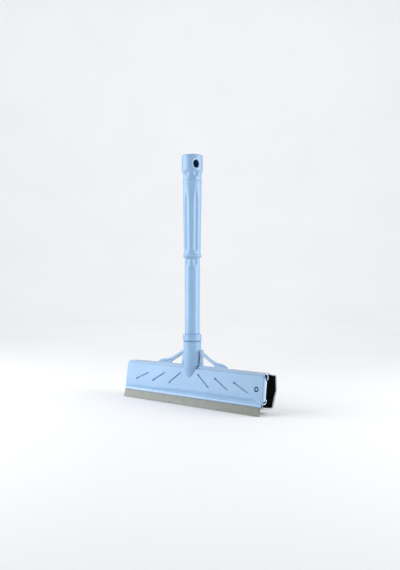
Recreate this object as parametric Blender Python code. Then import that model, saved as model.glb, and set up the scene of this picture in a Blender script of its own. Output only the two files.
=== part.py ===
"""Window squeegee with a screw-in handle, a clamped rubber blade and a slide-in wash pad.

Metres, +Z up the handle.  The origin is the centre of the hang hole in the handle's cap;
the heights below count from DATUM_Z, just under it.
The head's length runs along X, its front (the plate with the slots) faces -Y.

Head pieces are drawn in the head's own leaning frame, set on the empty head_frame:
  x = along the head, y = n (depth, 0 on the plate's front face, positive to the rear),
  z = -s (s is the distance down the plate from the top of the channel).
"""
import math

import bmesh
import bpy
from mathutils import Matrix, Vector

for old in list(bpy.data.objects):
    bpy.data.objects.remove(old, do_unlink=True)

MM = 0.001
GAP = 0.3                      # clearance kept between neighbouring pieces, mm

# ---------------------------------------------------------------- handle, mm
FLUTES = 6                     # grooves round the grip
DATUM_Z = -1.1                 # zero of the heights below, under the hang hole's centre
FLUTE_AZ = 64.4                # azimuth of one groove and of the hang hole, from -Y towards +X, degrees
FLUTE_WIDTH = 32.0             # angle one groove takes up, degrees

CAP_TOP = 14.4                 # height of the flat top
CAP_R = 14.8                   # widest radius of the hanging cap
CAP_NECK_R = 13.0
CAP_SHOULDER_Z = -20.9         # where the cap sits on the grip
HOLE_W = 9.0                   # hang hole, an upright oval: width
HOLE_H = 11.6                  # and height

GRIP_TOP_Z = CAP_SHOULDER_Z - GAP
GRIP_BOTTOM_Z = -128.2
GRIP_R_TOP = 13.0
GRIP_R_LOW = 12.0
GRIP_BORE_R = 9.6
GRIP_FLUTE_DEPTH = 1.15
BEAD1_R = 13.7
BEAD2_R = 13.1

SHAFT_TOP_Z = GRIP_BOTTOM_Z - GAP
SHAFT_BOTTOM_Z = -233.4
SHAFT_R_TOP = 10.75
SHAFT_R_LOW = 10.35
SHAFT_BORE_R = 8.2
SPIGOT_R = GRIP_BORE_R - GAP   # cap and shaft plug into the grip's bore

COLLAR_R = 13.2
COLLAR_TOP_Z = SHAFT_BOTTOM_Z - GAP
COLLAR_BOTTOM_Z = -242.2
THREAD_CREST_R = 9.45          # 3/4 inch screw, five threads to the inch
THREAD_ROOT_R = 7.7
THREAD_PITCH = 5.08
THREAD_BOTTOM_Z = -267.6

WASHER_TOP_Z = COLLAR_BOTTOM_Z - GAP
WASHER_BOTTOM_Z = -243.3
WASHER_R = 12.2

# ------------------------------------------------------------------ head, mm
HEAD_ORIGIN = (0.0, -5.2, -276.8)   # n = 0, s = 0
LEAN = 7.5                     # the head leans, bottom edge forward, degrees
HALF = 123.4                   # half the head's length

SOCKET_R = 12.4
SOCKET_BORE_R = 9.8
SOCKET_TOP_Z = WASHER_BOTTOM_Z - GAP
SOCKET_FLOOR_Z = -271.6

PLATE_T = 2.2                  # front plate: n from 0 to PLATE_T
PLATE_TOP_S = 3.6
COVE_S0, COVE_S1, COVE_DEEP = 31.0, 39.4, 1.1
BEAD_S, BEAD_N, BEAD_R = 41.5, 1.5, 2.4
POCKET_S = 40.3                # top of the blade's pocket behind the lip
LIP_BACK_N = 0.5

WEB_N0, WEB_N1 = PLATE_T + GAP, 4.9
WEB_LOW_N0 = 3.3               # the web steps back to leave room for the blade's root
HOOK_N, HOOK_R, HOOK_T = 7.6, 5.1, 1.6
TOP_HOOK_S, LOW_HOOK_S = 5.2, 34.9
TOP_HOOK_END, LOW_HOOK_END = 8.6, 33.2

# screws in the plate: (x, s)
SCREWS = [(-90.0, 29.5), (-28.0, 29.5), (28.0, 29.5), (90.0, 29.5), (-58.0, 8.5), (58.0, 8.5)]
# centre lines of the slots on the right half: (x0, s0, x1, s1); the left half mirrors them
SLOTS = [(16.2, 11.3, 35.8, 26.5), (46.4, 13.8, 68.0, 26.3), (78.8, 16.3, 101.4, 26.5)]
SLOT_W, SLOT_DEEP = 2.1, 1.3

BUTTON_X, BUTTON_S = 115.0, 21.3
BUTTON_R, BUTTON_FLANGE_R, STEM_R = 1.9, 3.5, 1.7
BUTTON_HOLE_R = 3.1

TRAY_N0, TRAY_N1 = 5.2, 10.3   # pad carrier
TRAY_S0, TRAY_S1 = 4.0, 37.2
TRAY_T = 1.6
TRAY_X0, TRAY_X1 = -121.0, 123.2
SPRING_X0, SPRING_X1 = 87.5, 119.0
SPRING_PIVOT_X = 92.0
PAD_X0, PAD_X1 = -121.0, 123.0
CLOTH_T = 1.1
BLADE_X0, BLADE_X1 = -124.6, 122.0   # the strip is pushed a little to the left in its pocket


# ------------------------------------------------------------------- helpers
def material(name, rgb, rough, metal=0.0):
    m = bpy.data.materials.new(name)
    m.use_nodes = True
    bsdf = m.node_tree.nodes["Principled BSDF"]
    bsdf.inputs["Base Color"].default_value = (*rgb, 1.0)
    bsdf.inputs["Roughness"].default_value = rough
    bsdf.inputs["Metallic"].default_value = metal
    m.diffuse_color = (*rgb, 1.0)
    return m


BLUE = material("blue_plastic", (0.33, 0.55, 0.84), 0.38)
GREY = material("grey_rubber", (0.36, 0.37, 0.34), 0.62)
BLACK = material("black_foam", (0.012, 0.012, 0.013), 0.95)
CLOTH = material("pale_cloth", (0.62, 0.63, 0.64), 0.95)
STEEL = material("steel", (0.60, 0.61, 0.62), 0.30, 1.0)
WASHER = material("washer_rubber", (0.05, 0.09, 0.15), 0.80)


def empty(name, loc=(0, 0, 0), rot=(0, 0, 0), parent=None):
    e = bpy.data.objects.new(name, None)
    bpy.context.scene.collection.objects.link(e)
    e.location = Vector(loc) * MM
    e.rotation_euler = rot
    e.parent = parent
    return e


def solid(name, verts, faces, mat, parent=None, loc=(0, 0, 0), smooth=35.0):
    """A closed mesh object from points in millimetres, drawn round loc."""
    me = bpy.data.meshes.new(name)
    me.from_pydata([((Vector(v) - Vector(loc)) * MM)[:] for v in verts], [], faces)
    bm = bmesh.new()
    bm.from_mesh(me)
    bmesh.ops.remove_doubles(bm, verts=bm.verts, dist=1e-6)
    bmesh.ops.recalc_face_normals(bm, faces=bm.faces)
    if bm.calc_volume(signed=True) < 0:
        bmesh.ops.reverse_faces(bm, faces=bm.faces)
    bm.to_mesh(me)
    bm.free()
    me.shade_smooth()
    me.set_sharp_from_angle(angle=math.radians(smooth))
    ob = bpy.data.objects.new(name, me)
    bpy.context.scene.collection.objects.link(ob)
    ob.location = Vector(loc) * MM
    ob.parent = parent
    if mat:
        me.materials.append(mat)
    return ob


def turned(profile, segs, radius=None, phase=0.0):
    """Points and faces of a turned solid.

    profile is a list of (r, z).  Where it starts and ends at r = 0 it is a solid with poles;
    otherwise it is taken as a closed loop, a tube.  radius(theta, r, z) may shape each ring."""
    verts, rings = [], []
    for r, z in profile:
        if r == 0:
            rings.append([len(verts)])
            verts.append((0, 0, z))
            continue
        ring = []
        for k in range(segs):
            th = 2 * math.pi * k / segs + phase
            rr = radius(th, r, z) if radius else r
            ring.append(len(verts))
            verts.append((rr * math.sin(th), -rr * math.cos(th), z))
        rings.append(ring)
    faces = []
    pairs = list(zip(rings, rings[1:]))
    if len(rings[0]) > 1:
        pairs.append((rings[-1], rings[0]))
    for a, b in pairs:
        for k in range(segs):
            j = (k + 1) % segs
            if len(a) == 1:
                faces.append((a[0], b[j], b[k]))
            elif len(b) == 1:
                faces.append((a[k], a[j], b[0]))
            else:
                faces.append((a[k], a[j], b[j], b[k]))
    return verts, faces


def turned_along(profile, segs, origin, axis, up=(0, 0, 1)):
    """The same, with the profile's axis laid along axis from origin."""
    verts, faces = turned(profile, segs)
    az = Vector(axis).normalized()
    ax = Vector(up).cross(az).normalized()
    ay = az.cross(ax)
    o = Vector(origin)
    return [tuple(o + ax * v[0] + ay * v[1] + az * v[2]) for v in verts], faces


def prism(section, x0, x1):
    """Points and faces of a bar along X; section is a list of (n, s) corners."""
    k = len(section)
    verts = [(x0, n, -s) for n, s in section] + [(x1, n, -s) for n, s in section]
    faces = [tuple(range(k)), tuple(range(2 * k - 1, k - 1, -1))]
    faces += [(i, (i + 1) % k, k + (i + 1) % k, k + i) for i in range(k)]
    return verts, faces


def lofted_bar(section_at, stations):
    """The same, with the section changing along X; section_at(x) gives the corners there."""
    rings = [[(x, n, -s) for n, s in section_at(x)] for x in stations]
    k = len(rings[0])
    verts = [p for ring in rings for p in ring]
    last = len(verts)
    faces = [tuple(range(k)), tuple(range(last - 1, last - k - 1, -1))]
    for i in range(len(rings) - 1):
        a, b = i * k, (i + 1) * k
        faces += [(a + j, a + (j + 1) % k, b + (j + 1) % k, b + j) for j in range(k)]
    return verts, faces


def slab(outline, n0, n1):
    """Points and faces of a flat plate; outline is a list of (x, s) corners."""
    k = len(outline)
    verts = [(x, n0, -s) for x, s in outline] + [(x, n1, -s) for x, s in outline]
    faces = [tuple(range(k)), tuple(range(2 * k - 1, k - 1, -1))]
    faces += [(i, (i + 1) % k, k + (i + 1) % k, k + i) for i in range(k)]
    return verts, faces


def merged(parts):
    """Several separate bodies as one list of points and faces."""
    verts, faces = [], []
    for v, f in parts:
        base = len(verts)
        verts += list(v)
        faces += [tuple(i + base for i in face) for face in f]
    return verts, faces


def arc(cn, cs, r, a0, a1, steps):
    """Points (n, s) on an arc; 0 degrees points to +n, 90 degrees to +s."""
    return [
        (
            cn + r * math.cos(math.radians(a0 + (a1 - a0) * i / steps)),
            cs + r * math.sin(math.radians(a0 + (a1 - a0) * i / steps)),
        )
        for i in range(steps + 1)
    ]


def rounded(points, radii, steps=4):
    """A polygon with its corners rounded, each by its own radius."""
    out = []
    count = len(points)
    for i, p in enumerate(points):
        r = radii[i] if isinstance(radii, (list, tuple)) else radii
        p = Vector(p)
        if r <= 0:
            out.append(tuple(p))
            continue
        a = (Vector(points[i - 1]) - p).normalized()
        b = (Vector(points[(i + 1) % count]) - p).normalized()
        half = math.acos(max(-1.0, min(1.0, a.dot(b)))) / 2
        d = r / math.tan(half)
        c = p + (a + b).normalized() * (r / math.sin(half))
        t0, t1 = p + a * d - c, p + b * d - c
        ang0 = math.atan2(t0.y, t0.x)
        turn = (math.atan2(t1.y, t1.x) - ang0 + math.pi) % (2 * math.pi) - math.pi
        for k in range(steps + 1):
            an = ang0 + turn * k / steps
            out.append((c.x + r * math.cos(an), c.y + r * math.sin(an)))
    return out


def tool(name, shape, parent=None):
    """A hidden solid used only by a Boolean."""
    ob = solid(name, shape[0], shape[1], None, parent)
    ob.hide_render = True
    ob.display_type = "WIRE"
    return ob


def boolean(ob, cutter, operation="DIFFERENCE"):
    mod = ob.modifiers.new(cutter.name, "BOOLEAN")
    mod.object = cutter
    mod.operation = operation
    mod.solver = "EXACT"
    return mod


def groove(theta, depth, width=FLUTE_WIDTH):
    """How far a groove sinks the surface at an azimuth theta, in radians."""
    step = 360.0 / FLUTES
    a = (math.degrees(theta) - FLUTE_AZ + step / 2) % step - step / 2
    if abs(a) >= width / 2 or depth <= 0:
        return 0.0
    return depth * (1 - (2 * a / width) ** 2)


def ease(t):
    t = max(0.0, min(1.0, t))
    return t * t * (3 - 2 * t)


# -------------------------------------------------------------------- frames
lean = math.radians(LEAN)
handle_axis = empty("handle_axis", (0, 0, DATUM_Z))
head_axis = empty("head_axis", (0, 0, DATUM_Z))
head_frame = empty("head_frame", HEAD_ORIGIN, (-lean, 0, 0), head_axis)
pad_frame = empty("pad_frame", (0, 0, 0), (0, 0, 0), head_frame)

SEG = 48


# -------------------------------------------------------------------- handle
def cap_radius(th, r, z):
    if r < 12.0:
        return r
    deep = 1.35 * ease((-8.0 - z) / 3.0) * ease((z + 17.2) / 4.6)
    return r - groove(th, deep)


cap_profile = [
    (0, CAP_TOP), (12.6, CAP_TOP), (13.7, CAP_TOP - 0.3), (14.5, CAP_TOP - 1.1), (CAP_R, CAP_TOP - 2.2), (CAP_R, 6.0), (CAP_R, 0.0),
    (CAP_R, -6.2), (14.5, -8.2), (13.5, -10.0), (CAP_NECK_R, -12.5), (CAP_NECK_R, -15.0),
    (CAP_NECK_R, -17.5), (CAP_NECK_R, CAP_SHOULDER_Z), (SPIGOT_R, CAP_SHOULDER_Z),
    (SPIGOT_R, -37.0), (SPIGOT_R - 0.8, -38.0), (7.4, -38.0), (7.4, -14.0), (0, -12.0),
]
cap_v, cap_f = turned(cap_profile, SEG, cap_radius)
hanging_cap = solid("hanging_cap", cap_v, cap_f, BLUE, handle_axis)

hole_dir = Vector((math.sin(math.radians(FLUTE_AZ)), -math.cos(math.radians(FLUTE_AZ)), 0))
hole_side = Vector((hole_dir.y, -hole_dir.x, 0))


def hole_ring(width, height, dist, steps=24):
    """The hang hole's oval outline, at a distance along its axis."""
    ring = []
    for k in range(steps):
        a = 2 * math.pi * (k + 0.5) / steps
        u, v = width / 2 * math.cos(a), height / 2 * math.sin(a) - DATUM_Z
        ring.append(tuple(hole_dir * dist + hole_side * u + Vector((0, 0, v))))
    return ring


def lofted(rings):
    """A solid through equal rings of points, closed at both ends."""
    k = len(rings[0])
    verts = [p for ring in rings for p in ring]
    faces = [tuple(range(k)), tuple(range(len(verts) - 1, len(verts) - k - 1, -1))]
    for i in range(len(rings) - 1):
        a, b = i * k, (i + 1) * k
        faces += [(a + j, a + (j + 1) % k, b + (j + 1) % k, b + j) for j in range(k)]
    return verts, faces


hang_hole = tool("hang_hole_cutter", lofted([
    hole_ring(HOLE_W + 4.0, HOLE_H + 4.0, -17.0), hole_ring(HOLE_W, HOLE_H, -13.0),
    hole_ring(HOLE_W, HOLE_H, 13.0), hole_ring(HOLE_W + 4.0, HOLE_H + 4.0, 17.0),
]), handle_axis)
boolean(hanging_cap, hang_hole)


def grip_outer(z):
    """Radius of the grip's plain surface."""
    t = ease((-45.0 - z) / 75.0)
    return GRIP_R_TOP + (GRIP_R_LOW - GRIP_R_TOP) * t


def grip_depth(z):
    """Depth of the grooves: long pointed run-in at the top, short at the bottom."""
    return GRIP_FLUTE_DEPTH * ease((-29.5 - z) / 20.0) * ease((z + 122.0) / 7.0)


def grip_radius(th, r, z):
    if r <= GRIP_BORE_R + 0.01 or z > -29.0 or z < -122.5:
        return r
    width = FLUTE_WIDTH * (0.45 + 0.55 * ease((-29.5 - z) / 26.0))
    return r - groove(th, grip_depth(z), width)


grip_profile = [(GRIP_BORE_R, GRIP_TOP_Z), (12.9, GRIP_TOP_Z)]
grip_profile += [
    (12.9 + (BEAD1_R - 12.9) * math.sin(math.pi * t), GRIP_TOP_Z - 5.6 * t)
    for t in (0.2, 0.5, 0.8, 1.0)
]
grip_rows = [-28.5, -32.0, -37.0, -43.0, -51.0, -64.0, -80.0, -96.0, -110.0, -115.0, -118.0, -120.5, -122.2]
grip_profile += [(grip_outer(z), z) for z in grip_rows]
grip_profile += [
    (12.0 + (BEAD2_R - 12.0) * math.sin(math.pi * t), -122.8 - 4.6 * t)
    for t in (0.0, 0.2, 0.5, 0.8, 1.0)
]
grip_profile += [(11.2, GRIP_BOTTOM_Z), (GRIP_BORE_R, GRIP_BOTTOM_Z)]
grip_v, grip_f = turned(grip_profile, SEG, grip_radius)
handle_grip = solid("handle_grip", grip_v, grip_f, BLUE, handle_axis)


def shaft_radius(th, r, z):
    if r <= SPIGOT_R + 0.01:
        return r
    deep = 0.95 * ease((-128.8 - z) / 2.0) * ease((z + 141.0) / 6.0)
    return r - groove(th, deep)


shaft_profile = [
    (SHAFT_BORE_R, -94.0), (SPIGOT_R - 0.6, -94.0), (SPIGOT_R, -95.0), (SPIGOT_R, SHAFT_TOP_Z),
    (10.6, SHAFT_TOP_Z), (10.35, -129.4), (10.3, -130.5), (10.45, -132.0), (10.65, -133.6),
    (SHAFT_R_TOP, -135.2), (SHAFT_R_TOP, -138.0), (SHAFT_R_TOP, -141.5), (SHAFT_R_TOP - 0.05, -150.0),
    (SHAFT_R_TOP - 0.2, -185.0), (SHAFT_R_LOW, -225.0), (SHAFT_R_LOW, SHAFT_BOTTOM_Z),
    (SHAFT_BORE_R, SHAFT_BOTTOM_Z),
]
shaft_v, shaft_f = turned(shaft_profile, SEG, shaft_radius)
handle_shaft = solid("handle_shaft", shaft_v, shaft_f, BLUE, handle_axis)


# The plug: a spigot up the shaft, the collar, and the screw below it.
def thread_radius(th, z, root, crest):
    """Right-hand screw thread with flat crests, run in and out over half a turn."""
    turn = (z / THREAD_PITCH - th / (2 * math.pi)) % 1.0
    rise = 0.5 - abs(turn - 0.5)
    height = max(0.0, min(1.0, (rise - 0.12) / 0.18))
    fade = ease((COLLAR_BOTTOM_Z - 1.2 - z) / 2.0) * ease((z - THREAD_BOTTOM_Z - 0.8) / 2.5)
    return root + (crest - root) * height * fade


plug_segs = 24
plug_profile = [
    (0, -212.0), (SHAFT_BORE_R - GAP - 0.8, -212.0), (SHAFT_BORE_R - GAP, -213.0),
    (SHAFT_BORE_R - GAP, COLLAR_TOP_Z), (COLLAR_R - 0.9, COLLAR_TOP_Z),
    (COLLAR_R, COLLAR_TOP_Z - 0.9), (COLLAR_R, -235.7), (COLLAR_R - 0.25, -236.0),
    (COLLAR_R - 0.25, -236.4), (COLLAR_R, -236.7), (COLLAR_R, COLLAR_BOTTOM_Z + 0.5),
    (COLLAR_R - 0.5, COLLAR_BOTTOM_Z), (THREAD_ROOT_R, COLLAR_BOTTOM_Z),
]
thread_rows = 30
plug_profile += [
    (THREAD_ROOT_R, COLLAR_BOTTOM_Z - 0.4 + (THREAD_BOTTOM_Z + 0.8 - COLLAR_BOTTOM_Z + 0.4) * i / thread_rows)
    for i in range(thread_rows + 1)
]
plug_profile += [(THREAD_ROOT_R - 0.7, THREAD_BOTTOM_Z), (0, THREAD_BOTTOM_Z)]


def plug_radius(th, r, z):
    if COLLAR_BOTTOM_Z > z > THREAD_BOTTOM_Z + 0.5:
        return thread_radius(th, z, THREAD_ROOT_R, THREAD_CREST_R)
    return r


plug_v, plug_f = turned(plug_profile, plug_segs, plug_radius)
threaded_plug = solid("threaded_plug", plug_v, plug_f, BLUE, handle_axis, smooth=40)

washer_v, washer_f = turned([
    (THREAD_CREST_R + 0.45, WASHER_TOP_Z), (WASHER_R, WASHER_TOP_Z),
    (WASHER_R, WASHER_BOTTOM_Z), (THREAD_CREST_R + 0.45, WASHER_BOTTOM_Z),
], 40)
handle_washer = solid("handle_washer", washer_v, washer_f, WASHER, head_axis)

# ------------------------------------------------------- front plate, socket
def plate_section(x):
    """Corners (n, s) of the plate: flat face, cove fading out at the ends, bead, lip and back."""
    deep = COVE_DEEP * ease((HALF - 2.0 - abs(x)) / 22.0)
    out = [(1.0, PLATE_TOP_S), (0.3, PLATE_TOP_S + 0.3), (0.0, PLATE_TOP_S + 1.0)]
    for i in range(9):
        t = i / 8
        out.append((deep * math.sin(math.pi * t ** 3) + 0.34 * t ** 6, COVE_S0 + (COVE_S1 - COVE_S0) * t))
    for a in (-46, -30, -14, 2, 18, 34, 49, 62):
        out.append((BEAD_N - BEAD_R * math.cos(math.radians(a)), BEAD_S + BEAD_R * math.sin(math.radians(a))))
    out += [(0.85, 43.58), (0.95, 43.4), (0.95, 42.75), (LIP_BACK_N, 42.45), (LIP_BACK_N, POCKET_S),
            (PLATE_T, POCKET_S), (PLATE_T, PLATE_TOP_S)]
    return out


stations = [-HALF, -120.0, -115.0, -110.0, -105.0, -100.0, 100.0, 105.0, 110.0, 115.0, 120.0, HALF]
front_plate = solid("front_plate", *lofted_bar(plate_section, stations), BLUE, head_frame)


def corner(x, s, r):
    """Outline that cuts a top corner at (x, s) of the head round with radius r."""
    side = 1 if x > 0 else -1
    pts = [(x + 2 * side, s - 2), (x + 2 * side, s + r), (x, s + r)]
    for k in range(1, 6):
        a = math.radians(90 * k / 6)
        pts.append((x - side * r * (1 - math.cos(a)), s + r * (1 - math.sin(a))))
    pts += [(x - side * r, s), (x - side * r, s - 2)]
    return pts if side < 0 else list(reversed(pts))


plate_corners = tool("plate_corner_cutter", merged([
    slab(corner(-HALF, PLATE_TOP_S, 3.0), -2, 4), slab(corner(HALF, PLATE_TOP_S, 2.0), -2, 4),
]), head_frame)
boolean(front_plate, plate_corners)

# The socket tube stands on the handle's axis and runs out as a cone on the plate.
to_head = Matrix.Rotation(lean, 4, "X") @ Matrix.Translation(-Vector(HEAD_ORIGIN))


def in_head(shape):
    """A shape given round the handle's axis, in the head's leaning frame."""
    return [tuple(to_head @ Vector(v)) for v in shape[0]], shape[1]


socket_profile = [
    (0, SOCKET_TOP_Z), (SOCKET_R - 0.5, SOCKET_TOP_Z), (SOCKET_R, SOCKET_TOP_Z - 0.5),
    (SOCKET_R, -262.0), (SOCKET_R, -278.6), (11.4, -281.6), (10.0, -286.2), (8.9, -289.6),
    (8.0, -291.3), (6.4, -292.6), (4.2, -293.3), (0, -293.6),
]
socket_outer = tool("socket_outer", in_head(turned(socket_profile, SEG)), head_frame)
behind = tool("socket_back_cutter", slab([(-20, -0.4), (20, -0.4), (20, 40), (-20, 40)], 1.6, 40), head_frame)
boolean(socket_outer, behind)
foot = tool("socket_foot_cutter", slab([(-21, -1.7), (21, -1.7), (21, 41), (-21, 41)], 12.5, 41), head_frame)
boolean(socket_outer, foot)
boolean(front_plate, socket_outer, "UNION")

boss_shapes = [
    turned_along([(0, 0), (2.7, 0), (2.7, 2.2), (0, 2.2)], 20, (x, PLATE_T - 0.6, -s), (0, 1, 0))
    for x, s in SCREWS
]
screw_bosses = tool("screw_bosses", merged(boss_shapes), head_frame)
boolean(front_plate, screw_bosses, "UNION")

socket_bore = tool("socket_bore", in_head(turned([
    (0, SOCKET_TOP_Z + 3), (SOCKET_BORE_R + 0.7, SOCKET_TOP_Z + 3), (SOCKET_BORE_R + 0.7, SOCKET_TOP_Z),
    (SOCKET_BORE_R, SOCKET_TOP_Z - 0.7), (SOCKET_BORE_R, SOCKET_FLOOR_Z), (0, SOCKET_FLOOR_Z),
], 40)), head_frame)
boolean(front_plate, socket_bore)


def capsule(x0, s0, x1, s1, width, steps=6):
    """The outline of a straight slot with round ends."""
    d = math.atan2(s1 - s0, x1 - x0)
    out = []
    for (cx, cs), a0 in (((x1, s1), d - math.pi / 2), ((x0, s0), d + math.pi / 2)):
        for k in range(steps + 1):
            a = a0 + math.pi * k / steps
            out.append((cx + width / 2 * math.cos(a), cs + width / 2 * math.sin(a)))
    return out


slot_shapes = []
for x0, s0, x1, s1 in SLOTS:
    slot_shapes.append(slab(capsule(x0, s0, x1, s1, SLOT_W), -1.0, SLOT_DEEP))
    slot_shapes.append(slab(capsule(-x1, s1, -x0, s0, SLOT_W), -1.0, SLOT_DEEP))
slot_cutter = tool("slot_cutter", merged(slot_shapes), head_frame)
boolean(front_plate, slot_cutter)

button_cut = tool("button_cutter", turned_along([
    (0, -3.0), (BUTTON_HOLE_R, -3.0), (BUTTON_HOLE_R, 1.2), (BUTTON_FLANGE_R + GAP, 1.2),
    (BUTTON_FLANGE_R + GAP, 3.0), (0, 3.0),
], 32, (BUTTON_X, 0, -BUTTON_S), (0, 1, 0)), head_frame)
boolean(front_plate, button_cut)

pilot_cut = tool("pilot_cutter", merged([
    turned_along([(0, 0), (1.6, 0), (1.6, 5.0), (0, 5.0)], 16, (x, 1.0, -s), (0, 1, 0))
    for x, s in SCREWS
]), head_frame)
boolean(front_plate, pilot_cut)

# -------------------------------------------------------------- rear channel
hook_in = HOOK_R - HOOK_T
channel_section = [(WEB_N0, 1.6), (WEB_N0 + 0.5, 0.5), (WEB_N0 + 1.6, TOP_HOOK_S - HOOK_R)]
channel_section += arc(HOOK_N, TOP_HOOK_S, HOOK_R, -90, 0, 7)
channel_section += [(HOOK_N + HOOK_R - 0.35, TOP_HOOK_END - 0.5), (HOOK_N + HOOK_R - 0.9, TOP_HOOK_END),
                    (HOOK_N + hook_in - 0.2, TOP_HOOK_END - 0.4)]
channel_section += arc(HOOK_N, TOP_HOOK_S, hook_in, 0, -90, 6)
channel_section += [(WEB_N1 + 0.6, TOP_HOOK_S - hook_in), (WEB_N1, TOP_HOOK_S - hook_in + 0.6)]
channel_section += [(WEB_N1, LOW_HOOK_S + hook_in - 0.6), (WEB_N1 + 0.6, LOW_HOOK_S + hook_in)]
channel_section += arc(HOOK_N, LOW_HOOK_S, hook_in, 90, 0, 6)
channel_section += [(HOOK_N + hook_in - 0.1, LOW_HOOK_END + 0.3), (HOOK_N + HOOK_R - 0.9, LOW_HOOK_END),
                    (HOOK_N + HOOK_R - 0.3, LOW_HOOK_END + 0.5)]
channel_section += arc(HOOK_N, LOW_HOOK_S, HOOK_R, 0, 90, 7)
channel_section += [(WEB_N1 + 0.4, LOW_HOOK_S + HOOK_R), (WEB_N1 - 0.1, LOW_HOOK_S + HOOK_R + 0.5),
                    (WEB_N1 - 0.1, 43.0), (WEB_LOW_N0, 43.0), (WEB_LOW_N0, 37.0), (WEB_N0, 36.2)]
rear_channel = solid("rear_channel", *prism(channel_section, -HALF, HALF), BLUE, head_frame)

# End wall at the left: the carrier stops against it.
end_section = rounded([(WEB_N1 - 1.0, 1.0), (HOOK_N + HOOK_R - 0.8, 1.0), (HOOK_N + HOOK_R - 0.8, 39.0),
                       (WEB_N1 - 1.0, 39.0)], [0, 4.4, 4.4, 0], 5)
end_wall = tool("end_wall", prism(end_section, -HALF, -HALF + 2.0), head_frame)
boolean(rear_channel, end_wall, "UNION")

channel_corner = tool("channel_corner_cutter", slab(corner(-HALF, TOP_HOOK_S - HOOK_R, 4.0), 0, 20), head_frame)
boolean(rear_channel, channel_corner)

# Wings: the web runs on above the plate as two struts that meet behind the socket.
WING = [(64.8, 1.2), (64.3, -0.6), (60.2, -3.9), (53.6, -6.2), (45.0, -7.5), (36.3, -10.3),
        (28.5, -14.4), (21.3, -18.6), (15.2, -22.0)]
wing_outline = WING + [(-x, s) for x, s in reversed(WING)] + [(-64.8, 3.0), (64.8, 3.0)]
wings = tool("wings", slab(wing_outline, WEB_N0, WEB_N1), head_frame)
boolean(rear_channel, wings, "UNION")

# Stiffening rim on the front of the struts, above the plate's top edge.
rim_inner = [(56.0, -3.2), (45.0, -4.4), (36.3, -7.0), (28.5, -10.8), (21.0, -15.3), (15.4, -18.6)]
rim_right = WING[2:] + [(x, s) for x, s in reversed(rim_inner)]
rim_left = [(-x, s) for x, s in reversed(rim_right)]
rims = tool("wing_rims", merged([slab(rim_right, 1.2, WEB_N0 + 0.4), slab(rim_left, 1.2, WEB_N0 + 0.4)]), head_frame)
boolean(rear_channel, rims, "UNION")

WINDOW_R = rounded([(16.8, -15.6), (44.0, -1.4), (16.8, -1.4)], [1.0, 0.7, 0.9], 4)
WINDOW_L = rounded([(-17.8, -15.0), (-17.8, -1.4), (-41.0, -1.4)], [1.0, 0.9, 0.7], 4)
window_cut = tool("window_cutter", merged([slab(WINDOW_R, -4, 14), slab(WINDOW_L, -4, 14)]), head_frame)
boolean(rear_channel, window_cut)

# Open slots between the wings' uprights and the socket tube.
slot_low = tool("upright_slots", slab([(-15.0, -19.6), (15.0, -19.6), (15.0, -0.1), (-15.0, -0.1)], -5, 9.0), head_frame)
boolean(rear_channel, slot_low)

# Saddle: a half ring behind the tube, down to the top of the channel.
saddle = tool("saddle", in_head(turned([
    (SOCKET_R - 1.0, -255.9), (SOCKET_R + 3.2, -255.9), (SOCKET_R + 3.2, -279.5), (SOCKET_R - 1.0, -279.5),
], SEG)), head_frame)
saddle_front = tool("saddle_front_cutter", merged([
    slab([(-30, -60), (30, -60), (30, 20), (-30, 20)], -30, 2.2),
    slab([(-31, -19.2), (31, -19.2), (31, 21), (-31, 21)], 2.2 - 1.0, 6.0),
]), head_frame)
boolean(saddle, saddle_front)
# It ends on the channel's top, and higher up behind it, clear of the pad.
saddle_floor = tool("saddle_floor_cutter", slab([(-33, 0.6), (33, 0.6), (33, 25), (-33, 25)], -31, 12.6), head_frame)
boolean(saddle, saddle_floor)
saddle_pad = tool("saddle_pad_cutter", slab([(-32, -1.9), (32, -1.9), (32, 24), (-32, 24)], 12.5, 31), head_frame)
boolean(saddle, saddle_pad)
boolean(rear_channel, saddle, "UNION")

# Room for the socket tube, down to its cut-off foot.
notch = tool("socket_notch", in_head(turned([
    (0, -240.0), (SOCKET_R + 0.4, -240.0), (SOCKET_R + 0.4, -290.0), (0, -290.0),
], SEG)), head_frame)
notch_end = tool("socket_notch_end", slab([(-20, -0.1), (20, -0.1), (20, 40), (-20, 40)], -30, 40), head_frame)
boolean(notch, notch_end)
boolean(rear_channel, notch)

# Holes in the web: for the plate's bosses, the screws and the button.
web_cut = tool("web_cutter", merged([
    turned_along([(0, 0), (3.0, 0), (3.0, 2.1), (1.7, 2.1), (1.7, 6.0), (0, 6.0)], 20, (x, WEB_N0 - 0.5, -s), (0, 1, 0))
    for x, s in SCREWS
] + [turned_along([(0, 1.0), (BUTTON_FLANGE_R + GAP, 1.0), (BUTTON_FLANGE_R + GAP, 4.1), (2.4, 4.1), (2.4, 7.0), (0, 7.0)],
                  32, (BUTTON_X, 0, -BUTTON_S), (0, 1, 0))]), head_frame)
boolean(rear_channel, web_cut)

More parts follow.
